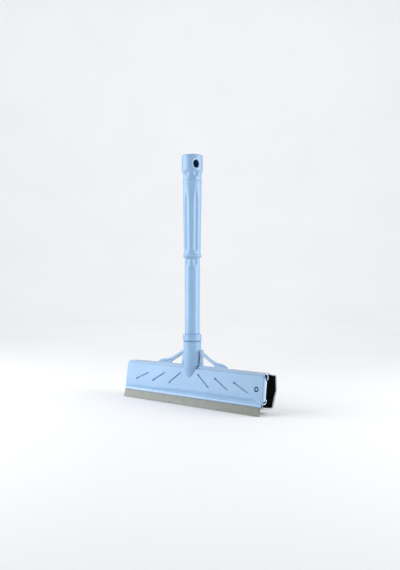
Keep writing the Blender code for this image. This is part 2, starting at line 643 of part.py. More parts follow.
# -------------------------------------------------------------------- screws
screw_mesh = None
plus = [(-1.5, -0.35), (-0.35, -0.35), (-0.35, -1.5), (0.35, -1.5), (0.35, -0.35), (1.5, -0.35),
        (1.5, 0.35), (0.35, 0.35), (0.35, 1.5), (-0.35, 1.5), (-0.35, 0.35), (-1.5, 0.35)]
for number, (x, s) in enumerate(SCREWS, 1):
    if screw_mesh is None:
        screw = solid("plate_screw_1", *turned_along([
            (0, 0), (1.3, 0.6), (1.3, 3.9), (2.8, 3.9), (2.6, 4.9), (1.9, 5.5), (0, 5.6),
        ], 16, (0, 0, 0), (0, 1, 0)), STEEL, head_frame)
        screw_mesh = screw.data
    else:
        screw = bpy.data.objects.new("plate_screw_%d" % number, screw_mesh)
        bpy.context.scene.collection.objects.link(screw)
        screw.parent = head_frame
    screw.location = Vector((x, 1.3, -s)) * MM
    drive = tool("screw_drive_%d" % number, slab(plus, 4.7, 7.0), screw)
    boolean(screw, drive)

# --------------------------------------------------------------------- blade
blade_section = rounded([
    (0.8, 40.62), (2.98, 40.62), (2.98, 42.2), (2.78, 42.6), (0.45, 54.8), (-1.1, 54.8), (1.38, 42.6), (0.8, 42.1),
], [0.4, 0.4, 0.25, 0, 0.15, 0.15, 0, 0.2], 2)
blade = solid("blade", *prism(blade_section, BLADE_X0, BLADE_X1), GREY, head_frame)

# ------------------------------------------------------------ release button
button_at = (BUTTON_X, 0, -BUTTON_S)
release_button = solid("release_button", *turned_along([
    (0, -0.1), (1.2, 0.0), (1.65, 0.15), (BUTTON_R, 0.5), (BUTTON_R, 1.5), (BUTTON_FLANGE_R, 1.5), (BUTTON_FLANGE_R, 2.2),
    (STEM_R, 2.2), (STEM_R, 3.6), (STEM_R - 0.3, 3.9), (0, 3.9),
], 32, button_at, (0, 1, 0)), BLUE, head_frame, button_at)

# --------------------------------------------------------------- pad carrier
tray_r = 4.2
tray_outer = rounded([(TRAY_N0, TRAY_S0), (TRAY_N1, TRAY_S0), (TRAY_N1, TRAY_S1), (TRAY_N0, TRAY_S1)],
                     [0.5, tray_r, tray_r, 0.5], 6)
tray_inner = rounded([(TRAY_N0 - 2, TRAY_S0 + TRAY_T), (TRAY_N1 - TRAY_T, TRAY_S0 + TRAY_T),
                      (TRAY_N1 - TRAY_T, TRAY_S1 - TRAY_T), (TRAY_N0 - 2, TRAY_S1 - TRAY_T)],
                     [0, tray_r - TRAY_T, tray_r - TRAY_T, 0], 5)
pad_carrier = solid("pad_carrier", *prism(tray_outer, TRAY_X0, TRAY_X1), BLUE, pad_frame)
tray_cut = tool("tray_cutter", prism(tray_inner, TRAY_X0 - 5, TRAY_X1 - TRAY_T), pad_frame)
boolean(pad_carrier, tray_cut)
spring_seat = tool("spring_seat", merged([
    slab(rounded([(87.0, 17.3), (95.0, 17.3), (95.0, 25.3), (87.0, 25.3)], 1.5, 3), 6.8, TRAY_N1 - 0.6),
]), pad_frame)
boolean(pad_carrier, spring_seat, "UNION")
rivet_cut = tool("rivet_cutter", turned_along([(0, 6.0), (1.5, 6.0), (1.5, 9.4), (0, 9.4)], 20,
                                               (SPRING_PIVOT_X, 0, -BUTTON_S), (0, 1, 0)), pad_frame)
boolean(pad_carrier, rivet_cut)

# Leaf spring with the pip that drops into the web's hole.
leaf = rounded([(SPRING_X0, 17.8), (SPRING_X1, 17.8), (SPRING_X1, 24.8), (SPRING_X0, 24.8)], 1.6, 4)
spring_at = (SPRING_PIVOT_X, 6.2, -BUTTON_S)
latch_spring = solid("latch_spring", *slab(leaf, 5.9, 6.5), STEEL, pad_frame, spring_at)
pip = tool("latch_pip", turned_along([(0, 4.2), (1.0, 4.25), (1.5, 4.6), (1.7, 5.2), (1.7, 6.2), (0, 6.2)], 24,
                                      (BUTTON_X, 0, -BUTTON_S), (0, 1, 0)), pad_frame)
boolean(latch_spring, pip, "UNION")
spring_hole = tool("spring_hole", turned_along([(0, 4.0), (1.5, 4.0), (1.5, 8.0), (0, 8.0)], 20,
                                                (SPRING_PIVOT_X, 0, -BUTTON_S), (0, 1, 0)), pad_frame)
boolean(latch_spring, spring_hole)

spring_rivet = solid("spring_rivet", *turned_along([
    (0, 5.15), (1.6, 5.2), (2.4, 5.45), (2.4, 5.6), (1.2, 5.6), (1.2, 9.0), (0, 9.0),
], 20, (SPRING_PIVOT_X, 0, -BUTTON_S), (0, 1, 0)), STEEL, pad_frame)

# ----------------------------------------------------------------- wash pad
foam_section = rounded([
    (13.2, 1.15), (30.55, 2.3), (33.75, 22.3), (27.65, 44.45), (6.4, 43.4), (6.4, 40.6), (8.4, 40.7), (11.8, 38.7), (13.3, 35.6),
    (13.3, 32.8), (10.65, 32.8), (10.65, 9.1), (13.3, 9.1),
], [0.8, 2.2, 3.0, 2.4, 0.3, 0.3, 0.5, 1.0, 1.0, 0.2, 0.3, 0.3, 0.2], 3)
foam_core = solid("foam_core", *prism(foam_section, PAD_X0, PAD_X1), BLACK, pad_frame)

outer = rounded([(13.1, -0.3), (31.8, 0.9), (35.2, 22.3), (28.8, 45.9), (6.0, 44.8)], [0, 2.4, 4.0, 3.0, 0], 5)
inner = rounded([(13.1, -0.3 + CLOTH_T), (30.84, 0.9 + CLOTH_T - 0.06), (34.08, 22.3), (27.95, 44.76), (6.0, 44.8 - CLOTH_T)],
                [0, 1.8, 3.4, 2.4, 0], 5)
cloth_section = outer + list(reversed(inner))
pad_cloth = solid("pad_cloth", *prism(cloth_section, PAD_X0, PAD_X1), CLOTH, pad_frame)
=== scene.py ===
"""Looks of the window squeegee: surfaces, soft wash pad, studio and camera.

All lengths below are in millimetres and are scaled to metres when a mesh is made.
"""
import math

import bmesh
import bpy
import numpy as np
from mathutils import Matrix, Vector, noise
from mathutils.geometry import delaunay_2d_cdt


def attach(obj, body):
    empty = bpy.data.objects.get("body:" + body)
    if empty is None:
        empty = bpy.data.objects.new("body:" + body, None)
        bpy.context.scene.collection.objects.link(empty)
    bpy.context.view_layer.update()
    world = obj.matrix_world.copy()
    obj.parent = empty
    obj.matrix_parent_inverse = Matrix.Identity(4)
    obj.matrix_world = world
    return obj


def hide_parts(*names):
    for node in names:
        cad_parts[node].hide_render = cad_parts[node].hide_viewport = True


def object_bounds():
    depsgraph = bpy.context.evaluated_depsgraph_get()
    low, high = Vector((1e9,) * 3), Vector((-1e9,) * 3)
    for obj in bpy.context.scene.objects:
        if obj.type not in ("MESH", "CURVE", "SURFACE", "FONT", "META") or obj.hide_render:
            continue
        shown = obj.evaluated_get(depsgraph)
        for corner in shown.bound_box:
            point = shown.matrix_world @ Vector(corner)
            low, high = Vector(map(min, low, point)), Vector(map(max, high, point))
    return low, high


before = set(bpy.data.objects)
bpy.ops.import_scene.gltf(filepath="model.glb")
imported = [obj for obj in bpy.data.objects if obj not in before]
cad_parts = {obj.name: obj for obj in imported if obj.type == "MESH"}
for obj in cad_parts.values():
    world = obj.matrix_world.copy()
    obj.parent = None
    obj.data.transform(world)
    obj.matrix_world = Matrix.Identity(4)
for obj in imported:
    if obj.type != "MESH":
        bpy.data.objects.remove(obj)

cad_lo, cad_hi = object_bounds()

MM = 0.001
GAP = 0.3
SEAM = 0.06                    # pushed-together joints of the handle
FLUTES, DATUM_Z, FLUTE_AZ, FLUTE_WIDTH = 6, -1.1, 64.4, 32.0
HEAD_ORIGIN, LEAN, HALF = (0.0, -5.2, -276.8), 7.5, 123.4


# ------------------------------------------------------------------- helpers
HANDLE_M = Matrix.Translation((0, 0, DATUM_Z * MM))
HEAD_M = (Matrix.Translation((0, 0, DATUM_Z * MM)) @ Matrix.Translation(Vector(HEAD_ORIGIN) * MM)
          @ Matrix.Rotation(-math.radians(LEAN), 4, "X"))
TO_HEAD = Matrix.Rotation(math.radians(LEAN), 4, "X") @ Matrix.Translation(-Vector(HEAD_ORIGIN))


def solid(name, verts, faces, matrix):
    """A mesh object from points in millimetres, in the frame that matrix gives."""
    me = bpy.data.meshes.new(name)
    co = np.array(verts, float) * MM
    me.from_pydata(co.tolist(), [], faces)
    bm = bmesh.new()
    bm.from_mesh(me)
    bmesh.ops.remove_doubles(bm, verts=bm.verts, dist=1e-7)
    bmesh.ops.recalc_face_normals(bm, faces=bm.faces)
    if bm.calc_volume(signed=True) < 0:
        bmesh.ops.reverse_faces(bm, faces=bm.faces)
    bm.to_mesh(me)
    bm.free()
    ob = bpy.data.objects.new(name, me)
    bpy.context.scene.collection.objects.link(ob)
    ob.matrix_world = matrix
    return ob


def applied(ob):
    """The object with its modifiers made real."""
    bpy.context.view_layer.update()
    dg = bpy.context.evaluated_depsgraph_get()
    me = bpy.data.meshes.new_from_object(ob.evaluated_get(dg), depsgraph=dg)
    ob.modifiers.clear()
    old, ob.data = ob.data, me
    bpy.data.meshes.remove(old)
    me.name = ob.name
    return ob


def boolean(ob, cutter, operation="DIFFERENCE"):
    """Cuts or joins at once, and removes the cutter."""
    mod = ob.modifiers.new("shape", "BOOLEAN")
    mod.object, mod.operation, mod.solver = cutter, operation, "EXACT"
    applied(ob)
    me = cutter.data
    bpy.data.objects.remove(cutter)
    bpy.data.meshes.remove(me)
    return ob


def finished(ob, mats, body, replaces, smooth=32.0, weighted=True, place=True):
    """Tidies the mesh, shades it, gives it its material and lets it ride on its body."""
    if place:
        ob.data.transform(ob.matrix_world)
        ob.matrix_world = Matrix.Identity(4)
    bm = bmesh.new()
    bm.from_mesh(ob.data)
    bmesh.ops.remove_doubles(bm, verts=bm.verts, dist=2e-6)
    bmesh.ops.dissolve_degenerate(bm, edges=bm.edges, dist=2e-6)
    loose = [v for v in bm.verts if not v.link_faces]
    bmesh.ops.delete(bm, geom=loose, context="VERTS")
    bm.to_mesh(ob.data)
    bm.free()
    ob.data.shade_smooth()
    ob.data.set_sharp_from_angle(angle=math.radians(smooth))
    ob.data.materials.clear()
    for m in mats if isinstance(mats, (list, tuple)) else [mats]:
        ob.data.materials.append(m)
    if weighted:
        mod = ob.modifiers.new("even_normals", "WEIGHTED_NORMAL")
        mod.keep_sharp, mod.weight = True, 60
    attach(ob, body)
    if replaces:
        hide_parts(*([replaces] if isinstance(replaces, str) else replaces))
    return ob


def turned(profile, segs, radius=None):
    """A turned solid; theta counts from -Y towards +X. Poles where r is 0, else a closed ring."""
    verts, rings = [], []
    for r, z in profile:
        if r == 0:
            rings.append([len(verts)])
            verts.append((0, 0, z))
            continue
        ring = []
        for k in range(segs):
            th = 2 * math.pi * k / segs
            rr = radius(th, r, z) if radius else r
            ring.append(len(verts))
            verts.append((rr * math.sin(th), -rr * math.cos(th), z))
        rings.append(ring)
    faces, pairs = [], list(zip(rings, rings[1:]))
    if len(rings[0]) > 1:
        pairs.append((rings[-1], rings[0]))
    for a, b in pairs:
        for k in range(segs):
            j = (k + 1) % segs
            if len(a) == 1:
                faces.append((a[0], b[j], b[k]))
            elif len(b) == 1:
                faces.append((a[k], a[j], b[0]))
            else:
                faces.append((a[k], a[j], b[j], b[k]))
    return verts, faces


def along(profile, segs, origin, axis=(0, 1, 0), up=(0, 0, 1)):
    verts, faces = turned(profile, segs)
    az = Vector(axis).normalized()
    ax = Vector(up).cross(az).normalized()
    ay = az.cross(ax)
    o = Vector(origin)
    return [tuple(o + ax * v[0] + ay * v[1] + az * v[2]) for v in verts], faces


def loft(rings, close=True):
    """Faces through equal closed rings of points, capped at both ends."""
    k = len(rings[0])
    verts = [p for ring in rings for p in ring]
    faces = [tuple(range(k)), tuple(range(len(verts) - 1, len(verts) - k - 1, -1))] if close else []
    for i in range(len(rings) - 1):
        a, b = i * k, (i + 1) * k
        faces += [(a + j, a + (j + 1) % k, b + (j + 1) % k, b + j) for j in range(k)]
    return verts, faces


def arc(cn, cs, r, a0, a1, steps):
    """Points (n, s) on an arc; 0 degrees points to +n, 90 degrees to +s."""
    return [(cn + r * math.cos(math.radians(a0 + (a1 - a0) * i / steps)),
             cs + r * math.sin(math.radians(a0 + (a1 - a0) * i / steps))) for i in range(steps + 1)]


def rounded(points, radii, steps=6):
    """A polygon with its corners rounded, each by its own radius."""
    out, count = [], len(points)
    for i, p in enumerate(points):
        r = radii[i] if isinstance(radii, (list, tuple)) else radii
        p = Vector(p)
        if r <= 0:
            out.append(tuple(p))
            continue
        a = (Vector(points[i - 1]) - p).normalized()
        b = (Vector(points[(i + 1) % count]) - p).normalized()
        half = math.acos(max(-1.0, min(1.0, a.dot(b)))) / 2
        d = r / math.tan(half)
        c = p + (a + b).normalized() * (r / math.sin(half))
        t0, t1 = p + a * d - c, p + b * d - c
        ang0 = math.atan2(t0.y, t0.x)
        turn = (math.atan2(t1.y, t1.x) - ang0 + math.pi) % (2 * math.pi) - math.pi
        for k in range(steps + 1):
            an = ang0 + turn * k / steps
            out.append((c.x + r * math.cos(an), c.y + r * math.sin(an)))
    return out


def offset(loop, dist):
    """A closed outline moved inwards by dist (outwards if negative)."""
    p = np.array(loop, float)
    nxt, prv = np.roll(p, -1, 0), np.roll(p, 1, 0)
    area = float((p[:, 0] * nxt[:, 1] - nxt[:, 0] * p[:, 1]).sum() / 2)
    e0, e1 = p - prv, nxt - p
    n0 = np.stack([-e0[:, 1], e0[:, 0]], 1) / np.maximum(np.linalg.norm(e0, axis=1), 1e-9)[:, None]
    n1 = np.stack([-e1[:, 1], e1[:, 0]], 1) / np.maximum(np.linalg.norm(e1, axis=1), 1e-9)[:, None]
    m = n0 + n1
    m /= np.maximum((m * n0).sum(1), 0.35)[:, None]
    return [tuple(q) for q in p + m * dist * (1 if area > 0 else -1)]


def quarter(r, steps=4):
    """(how far in from the end, how far the outline draws in) round a quarter circle."""
    out = []
    for i in range(steps + 1):
        a = math.radians(90 * i / steps)
        out.append((r * (1 - math.sin(a)), r * (1 - math.cos(a))))
    return out   # from (r, 0) to (0, r)


def bar(section_at, stations, r0, r1, steps=3):
    """A bar along X whose end edges are rounded; section_at(x) gives the outline (n, s)."""
    x0, x1 = stations[0], stations[-1]
    rings = []
    for inset, draw in reversed(quarter(r0, steps)):
        rings.append((x0 + inset, draw))
    rings += [(x, 0.0) for x in stations if x0 + r0 + 0.02 < x < x1 - r1 - 0.02]
    for inset, draw in quarter(r1, steps):
        rings.append((x1 - inset, draw))
    loops = []
    for x, draw in rings:
        sec = section_at(x)
        loops.append([(x, n, -s) for n, s in (offset(sec, draw) if draw else sec)])
    return loft(loops)


def plate(outline, n0, n1, r0=0.35, r1=0.35, steps=3):
    """A flat slab with rounded edges; outline is a list of (x, s)."""
    rings = []
    for inset, draw in reversed(quarter(r0, steps)) if r0 else [(0, 0)]:
        rings.append((n0 + inset, draw))
    for inset, draw in quarter(r1, steps) if r1 else [(0, 0)]:
        rings.append((n1 - inset, draw))
    return loft([[(x, n, -s) for x, s in (offset(outline, d) if d else outline)] for n, d in rings])


def pocket(outline, face, depth, way=1, lip=0.3, floor=0.25, steps=4):
    """A cutter for a recess from the face at n = face, with a rounded mouth and floor.

    way is +1 where the recess goes towards +n."""
    clean = [(face - way * 0.8, -lip)]
    for i in range(steps + 1):
        a = math.radians(90 * i / steps)
        clean.append((face + way * (lip * (1 - math.cos(a)) + 0.004), -lip * (1 - math.sin(a))))
    for i in range(steps + 1):
        a = math.radians(90 * i / steps)
        clean.append((face + way * (depth - floor * (1 - math.sin(a))), floor * (1 - math.cos(a))))
    return loft([[(x, n, -s) for x, s in offset(outline, d)] for n, d in clean])


def through(outline, n0, n1, lip=0.3, steps=4):
    """A cutter right through a slab from n0 to n1, with both mouths rounded."""
    rings = [(n0 - 0.8, -lip)]
    for i in range(steps + 1):
        a = math.radians(90 * i / steps)
        rings.append((n0 + lip * (1 - math.cos(a)) + 0.004, -lip * (1 - math.sin(a))))
    for i in range(steps, -1, -1):
        a = math.radians(90 * i / steps)
        rings.append((n1 - lip * (1 - math.cos(a)) - 0.004, -lip * (1 - math.sin(a))))
    rings.append((n1 + 0.8, -lip))
    return loft([[(x, n, -s) for x, s in offset(outline, d)] for n, d in rings])


def merged(parts):
    verts, faces = [], []
    for v, f in parts:
        base = len(verts)
        verts += list(v)
        faces += [tuple(i + base for i in face) for face in f]
    return verts, faces


def ease(t):
    t = max(0.0, min(1.0, t))
    return t * t * (3 - 2 * t)


def groove(theta, depth, width=FLUTE_WIDTH, soft=0.10):
    """Depth of a groove at azimuth theta, its edges slightly softened."""
    step = 360.0 / FLUTES
    a = (math.degrees(theta) - FLUTE_AZ + step / 2) % step - step / 2
    v = 1 - (2 * a / width) ** 2
    return depth * 0.5 * (v + math.sqrt(v * v + soft * soft)) - depth * 0.5 * soft * 0.2 if v > -1.5 else 0.0


def spread(a, b, steps):
    return [a + (b - a) * i / steps for i in range(steps + 1)]


def curve(points, per=6):
    """A smooth line through a profile's points (Catmull-Rom)."""
    pts = [Vector(p) for p in points]
    out = []
    for i in range(len(pts) - 1):
        p0, p1, p2, p3 = pts[max(0, i - 1)], pts[i], pts[i + 1], pts[min(len(pts) - 1, i + 2)]
        for k in range(per):
            t = k / per
            out.append(tuple(0.5 * ((2 * p1) + (p2 - p0) * t + (2 * p0 - 5 * p1 + 4 * p2 - p3) * t * t
                                    + (3 * p1 - p0 - 3 * p2 + p3) * t ** 3)))
    return out + [tuple(pts[-1])]


# ----------------------------------------------------------------- materials
def nodes_of(name):
    m = bpy.data.materials.new(name)
    m.use_nodes = True
    nt = m.node_tree
    return m, nt, nt.nodes, nt.links, nt.nodes["Principled BSDF"]


class Tree:
    """Small helper that adds nodes and links."""

    def __init__(self, nt):
        self.nt = nt

    def add(self, kind, **sets):
        n = self.nt.nodes.new(kind)
        for k, v in sets.items():
            if k.startswith("i_"):
                n.inputs[k[2:].replace("_", " ")].default_value = v
            else:
                setattr(n, k, v)
        return n

    def link(self, a, b):
        self.nt.links.new(a, b)

    def coords(self, scale=(1, 1, 1)):
        tc = self.add("ShaderNodeTexCoord")
        mp = self.add("ShaderNodeMapping")
        mp.inputs["Scale"].default_value = scale
        self.link(tc.outputs["Object"], mp.inputs["Vector"])
        return mp.outputs["Vector"]

    def noise(self, vec, scale, detail=3.0, rough=0.55, distort=0.0):
        n = self.add("ShaderNodeTexNoise")
        n.inputs["Scale"].default_value = scale
        n.inputs["Detail"].default_value = detail
        n.inputs["Roughness"].default_value = rough
        n.inputs["Distortion"].default_value = distort
        self.link(vec, n.inputs["Vector"])
        return n.outputs["Fac"]

    def voronoi(self, vec, scale, feature="F1", out="Distance"):
        n = self.add("ShaderNodeTexVoronoi", feature=feature)
        n.inputs["Scale"].default_value = scale
        self.link(vec, n.inputs["Vector"])
        return n.outputs[out]

    def ramp(self, fac, stops):
        n = self.add("ShaderNodeValToRGB")
        els = n.color_ramp.elements
        while len(els) < len(stops):
            els.new(0.5)
        for e, (pos, col) in zip(els, stops):
            e.position = pos
            e.color = (*col, 1.0) if len(col) == 3 else col
        self.link(fac, n.inputs["Fac"])
        return n.outputs["Color"]

    def span(self, fac, a, b, lo, hi):
        n = self.add("ShaderNodeMapRange")
        for k, v in zip(("From Min", "From Max", "To Min", "To Max"), (a, b, lo, hi)):
            n.inputs[k].default_value = v
        self.link(fac, n.inputs["Value"])
        return n.outputs["Result"]

    def toward(self, axis, start):
        """Distance of the point along an axis, less start."""
        n = self.add("ShaderNodeVectorMath", operation="DOT_PRODUCT")
        self.link(self.coords(), n.inputs[0])
        n.inputs[1].default_value = axis
        return self.math("SUBTRACT", n.outputs["Value"], start)

    def mix(self, fac, a, b, how="MIX"):
        n = self.add("ShaderNodeMix", data_type="RGBA", blend_type=how)
        if isinstance(fac, (int, float)):
            n.inputs["Factor"].default_value = fac
        else:
            self.link(fac, n.inputs["Factor"])
        for sock, v in ((n.inputs[6], a), (n.inputs[7], b)):
            if isinstance(v, (tuple, list)):
                sock.default_value = (*v, 1.0)
            else:
                self.link(v, sock)
        return n.outputs[2]

    def math(self, op, a, b=None):
        n = self.add("ShaderNodeMath", operation=op)
        for i, v in enumerate((a, b)):
            if v is None:
                continue
            if isinstance(v, (int, float)):
                n.inputs[i].default_value = v
            else:
                self.link(v, n.inputs[i])
        return n.outputs[0]

    def bump(self, height, strength, distance, normal=None):
        n = self.add("ShaderNodeBump")
        n.inputs["Strength"].default_value = strength
        n.inputs["Distance"].default_value = distance
        self.link(height, n.inputs["Height"])
        if normal is not None:
            self.link(normal, n.inputs["Normal"])
        return n.outputs["Normal"]


def plastic(name, base, rough=(0.30, 0.42), grain=0.10, worn=0.30, flow=(6, 6, 1.5), bore=False, recess=None, gloss=0.5):
    """Satin moulded plastic: cloudy pigment, fine spark grain, faint flow marks, pale worn edges, painted shade in
    hollows; recess and bore add more painted shade and highlights.
    """
    m, nt, nodes, links, bsdf = nodes_of(name)
    t = Tree(nt)
    v = t.coords()
    vf = t.coords(flow)
    cloud = t.noise(v, 22.0, 4.0, 0.6, 0.3)
    lo = tuple(c * 0.955 for c in base)
    hi = tuple(min(1.0, c * 1.035 + 0.004) for c in base)
    col = t.ramp(cloud, [(0.30, lo), (0.52, base), (0.74, hi)])
    streak = t.noise(vf, 34.0, 3.0, 0.5, 0.6)
    col = t.mix(t.span(streak, 0.48, 0.72, 0.0, 0.16), col, tuple(min(1.0, c * 1.06 + 0.02) for c in base))
    speck = t.noise(v, 1500.0, 2.0, 0.6)
    col = t.mix(t.span(speck, 0.55, 0.8, 0.0, 0.10), col, tuple(c * 0.82 for c in base))
    geo = t.add("ShaderNodeNewGeometry")
    edge = t.span(geo.outputs["Pointiness"], 0.515, 0.60, 0.0, 1.0)
    patch = t.span(t.noise(v, 190.0, 4.0, 0.65), 0.42, 0.66, 0.0, worn)
    pale = tuple(min(1.0, c * 0.62 + 0.36) for c in base)
    col = t.mix(t.math("MULTIPLY", edge, patch), col, pale)
    # painted shade: darker where the surface is hollow
    hollow_shade = t.span(geo.outputs["Pointiness"], 0.34, 0.46, 0.22, 0.0)
    col = t.mix(hollow_shade, col, tuple(c * 0.74 for c in base))
    painted_shade = None
    # painted shade and highlights from the part's recess function; the mask it returns also roughens and dulls those
    # places
    if recess:
        x, n, s = (t.toward(axis, start) for axis, start in HEAD_AXES)
        col, painted_shade = recess(t, col, x, n, s)
    if bore:
        # a painted highlight as a pale lip round the hang hole, and painted shade inside it
        p = t.coords()
        parts = t.add("ShaderNodeSeparateXYZ")
        t.link(p, parts.inputs[0])
        across = t.toward((math.cos(math.radians(FLUTE_AZ)), math.sin(math.radians(FLUTE_AZ)), 0.0), 0.0)
        u = t.math("DIVIDE", across, 0.0045)
        w = t.math("DIVIDE", parts.outputs[2], 0.0058)
        oval = t.math("SQRT", t.math("ADD", t.math("MULTIPLY", u, u), t.math("MULTIPLY", w, w)))
        ring = t.math("MULTIPLY", t.span(oval, 0.98, 1.04, 0.0, 1.0), t.span(oval, 1.18, 1.30, 1.0, 0.0))
        col = t.mix(t.math("MULTIPLY", ring, 0.72), col, (0.74, 0.83, 0.93))
        flat = t.math("ADD", t.math("MULTIPLY", parts.outputs[0], parts.outputs[0]),
                      t.math("MULTIPLY", parts.outputs[1], parts.outputs[1]))
        deep = t.span(t.math("SQRT", flat), 0.0112, 0.0130, 1.0, 0.0)
        low = t.span(parts.outputs[2], 0.0085, 0.0100, 1.0, 0.0)
        painted_shade = t.math("MULTIPLY", t.math("MULTIPLY", deep, low), t.span(oval, 1.02, 1.14, 1.0, 0.0))
        col = t.mix(painted_shade, col, (0.0120, 0.1150, 0.3000))
    links.new(col, bsdf.inputs["Base Color"])
    r = t.span(t.noise(v, 70.0, 5.0, 0.65), 0.3, 0.7, *rough)
    rub = t.span(t.noise(t.coords((1, 1, 0.12)), 420.0, 3.0, 0.6), 0.60, 0.78, 0.0, 0.07)
    r = t.math("ADD", r, rub)
    if painted_shade is not None:
        r = t.math("ADD", r, t.math("MULTIPLY", painted_shade, 0.7))
    links.new(r, bsdf.inputs["Roughness"])
    g1 = t.bump(t.noise(v, 1150.0, 2.0, 0.5), grain, 0.00012)
    g2 = t.bump(t.noise(v, 60.0, 2.0, 0.5), 0.22, 0.00030, g1)
    links.new(g2, bsdf.inputs["Normal"])
    bsdf.inputs["IOR"].default_value = 1.49
    bsdf.inputs["Specular IOR Level"].default_value = gloss
    bsdf.inputs["Sheen Weight"].default_value = 0.12
    bsdf.inputs["Sheen Roughness"].default_value = 0.28
    if painted_shade is not None:
        links.new(t.span(painted_shade, 0.0, 1.0, gloss, 0.0), bsdf.inputs["Specular IOR Level"])
        links.new(t.span(painted_shade, 0.0, 1.0, 0.12, 0.0), bsdf.inputs["Sheen Weight"])
    return m


def over(t, *parts):
    """The product of several masks."""
    out = parts[0]
    for p in parts[1:]:
        out = t.math("MULTIPLY", out, p)
    return out


def ring_of(t, a, a0, b, b0):
    """Distance of (a, b) from the point (a0, b0)."""
    u, v = t.math("SUBTRACT", a, a0), t.math("SUBTRACT", b, b0)
    return t.math("SQRT", t.math("ADD", t.math("MULTIPLY", u, u), t.math("MULTIPLY", v, v)))


def plate_painted_light(t, col, x, n, s):
    """Painted shade in the slots, round the button's hole, in the gap behind the tube and along the end seam; painted
    light on the tube's right flank and along the lip, and a painted falloff of light towards the right end.
    """
    # painted light falloff: a shade paler at the left, darker towards the right end
    col = t.mix(1.0, col, t.ramp(t.span(x, -0.125, 0.123, 0.0, 1.0), [(0.0, (1.0, 1.0, 1.0)), (0.45, (0.975, 0.97, 0.97)),
                                                                   (1.0, (0.865, 0.875, 0.88))]), "MULTIPLY")
    # painted shade in the slots
    low = t.span(n, 0.00010, 0.0011, 0.0, 1.0)
    slots = over(t, low, t.span(n, 0.0019, 0.0021, 1.0, 0.0), t.span(s, 0.0086, 0.0092, 0.0, 1.0),
                 t.span(s, 0.0286, 0.0292, 1.0, 0.0), t.span(t.math("ABSOLUTE", x), 0.1100, 0.1106, 1.0, 0.0))
    col = t.mix(t.math("MULTIPLY", slots, 0.42), col, (0.075, 0.165, 0.330))
    # painted shade round the button's hole
    hole = over(t, t.span(n, 0.00012, 0.0005, 0.0, 1.0), t.span(ring_of(t, x, 0.1150, s, 0.0213), 0.0040, 0.0042, 1.0, 0.0))
    col = t.mix(t.math("MULTIPLY", hole, 0.96), col, (0.006, 0.024, 0.075))
    # painted light on the tube's right flank, lifting its shade
    flank = over(t, t.span(n, -0.0028, 0.0018, 0.0, 1.0), t.span(s, -0.0240, -0.0140, 0.0, 1.0), t.span(s, -0.0012, 0.0004, 1.0, 0.0),
                 t.span(x, 0.002, 0.004, 0.0, 1.0))
    col = t.mix(t.math("MULTIPLY", flank, 0.90), col, (0.410, 0.670, 0.950))
    # painted shade in the gap behind the tube
    back = over(t, t.span(n, 0.0031, 0.0040, 0.0, 1.0), t.span(n, 0.0078, 0.0088, 1.0, 0.0), t.span(s, -0.0175, -0.0155, 0.0, 1.0))
    col = t.mix(t.math("MULTIPLY", back, 0.92), col, (0.013, 0.064, 0.205))
    # painted shadow along the end seam
    seam = over(t, t.span(n, 0.0015, 0.0021, 0.0, 1.0), t.span(x, 0.1226, 0.1231, 0.0, 1.0))
    col = t.mix(t.math("MULTIPLY", seam, 0.55), col, (0.070, 0.150, 0.300))
    # a painted highlight along the lip, strongest at the left end
    lip = over(t, t.span(s, 0.0398, 0.0409, 0.0, 1.0), t.span(n, 0.0003, 0.0008, 1.0, 0.0))
    col = t.mix(t.math("MULTIPLY", lip, t.span(x, -0.125, 0.123, 0.60, 0.22)), col, (0.56, 0.72, 0.90))
    return col, t.math("MAXIMUM", hole, t.math("MULTIPLY", back, 0.8))


def rear_painted_light(t, col, x, n, s):
    """Painted shade inside the two curls, on the ledge, in the gap behind the tube and along the end seam; painted
    highlights on the cut ends of the curls; lighter at the left and darker at the right as painted light.
    """
    # painted light: lighter at the left end, darker at the right
    col = t.mix(1.0, col, t.ramp(t.span(x, -0.030, 0.050, 0.0, 1.0), [(0.0, (1.10, 1.08, 1.04)), (1.0, (0.95, 0.92, 0.88))]), "MULTIPLY")
    # the ledge above the plate's edge, in the shade of the wings
    ledge = over(t, t.span(s, -0.0075, -0.0050, 0.0, 1.0), t.span(s, 0.0006, 0.0012, 1.0, 0.0), t.span(x, 0.060, 0.105, 0.95, 0.25))
    col = t.mix(ledge, col, (0.222, 0.362, 0.555))
    # painted shade inside the two curls
    top = over(t, t.span(ring_of(t, n, 0.0076, s, 0.0052), 0.00355, 0.0037, 1.0, 0.0), t.span(s, 0.0090, 0.0096, 1.0, 0.0))
    low = over(t, t.span(ring_of(t, n, 0.0076, s, 0.0349), 0.00355, 0.0037, 1.0, 0.0), t.span(s, 0.0352, 0.0358, 0.0, 1.0))
    curls = t.math("MAXIMUM", top, low)
    col = t.mix(t.math("MULTIPLY", curls, 0.95), col, (0.0030, 0.0100, 0.0300))
    # painted shade on the saddle in the gap behind the tube
    p = t.coords()
    parts = t.add("ShaderNodeSeparateXYZ")
    t.link(p, parts.inputs[0])
    tube = over(t, t.span(ring_of(t, parts.outputs[0], 0.0, parts.outputs[1], 0.0), 0.0141, 0.0147, 1.0, 0.0),
                t.span(s, -0.0180, -0.0160, 0.0, 1.0), t.span(s, 0.0004, 0.0012, 1.0, 0.0))
    col = t.mix(t.math("MULTIPLY", tube, 0.85), col, (0.015, 0.045, 0.110))
    # painted shadow along the end seam
    seam = over(t, t.span(n, 0.0031, 0.0036, 1.0, 0.0), t.span(x, 0.1226, 0.1231, 0.0, 1.0))
    col = t.mix(t.math("MULTIPLY", seam, 0.55), col, (0.070, 0.150, 0.300))
    # painted highlights on the cut ends of the two curls
    ends = over(t, t.span(x, 0.1226, 0.1231, 0.0, 1.0), t.span(n, 0.0062, 0.0070, 0.0, 1.0), t.span(curls, 0.0, 0.4, 1.0, 0.0))
    col = t.mix(t.math("MULTIPLY", ends, 0.65), col, (0.68, 0.82, 0.96))
    return col, t.math("MAXIMUM", curls, tube)


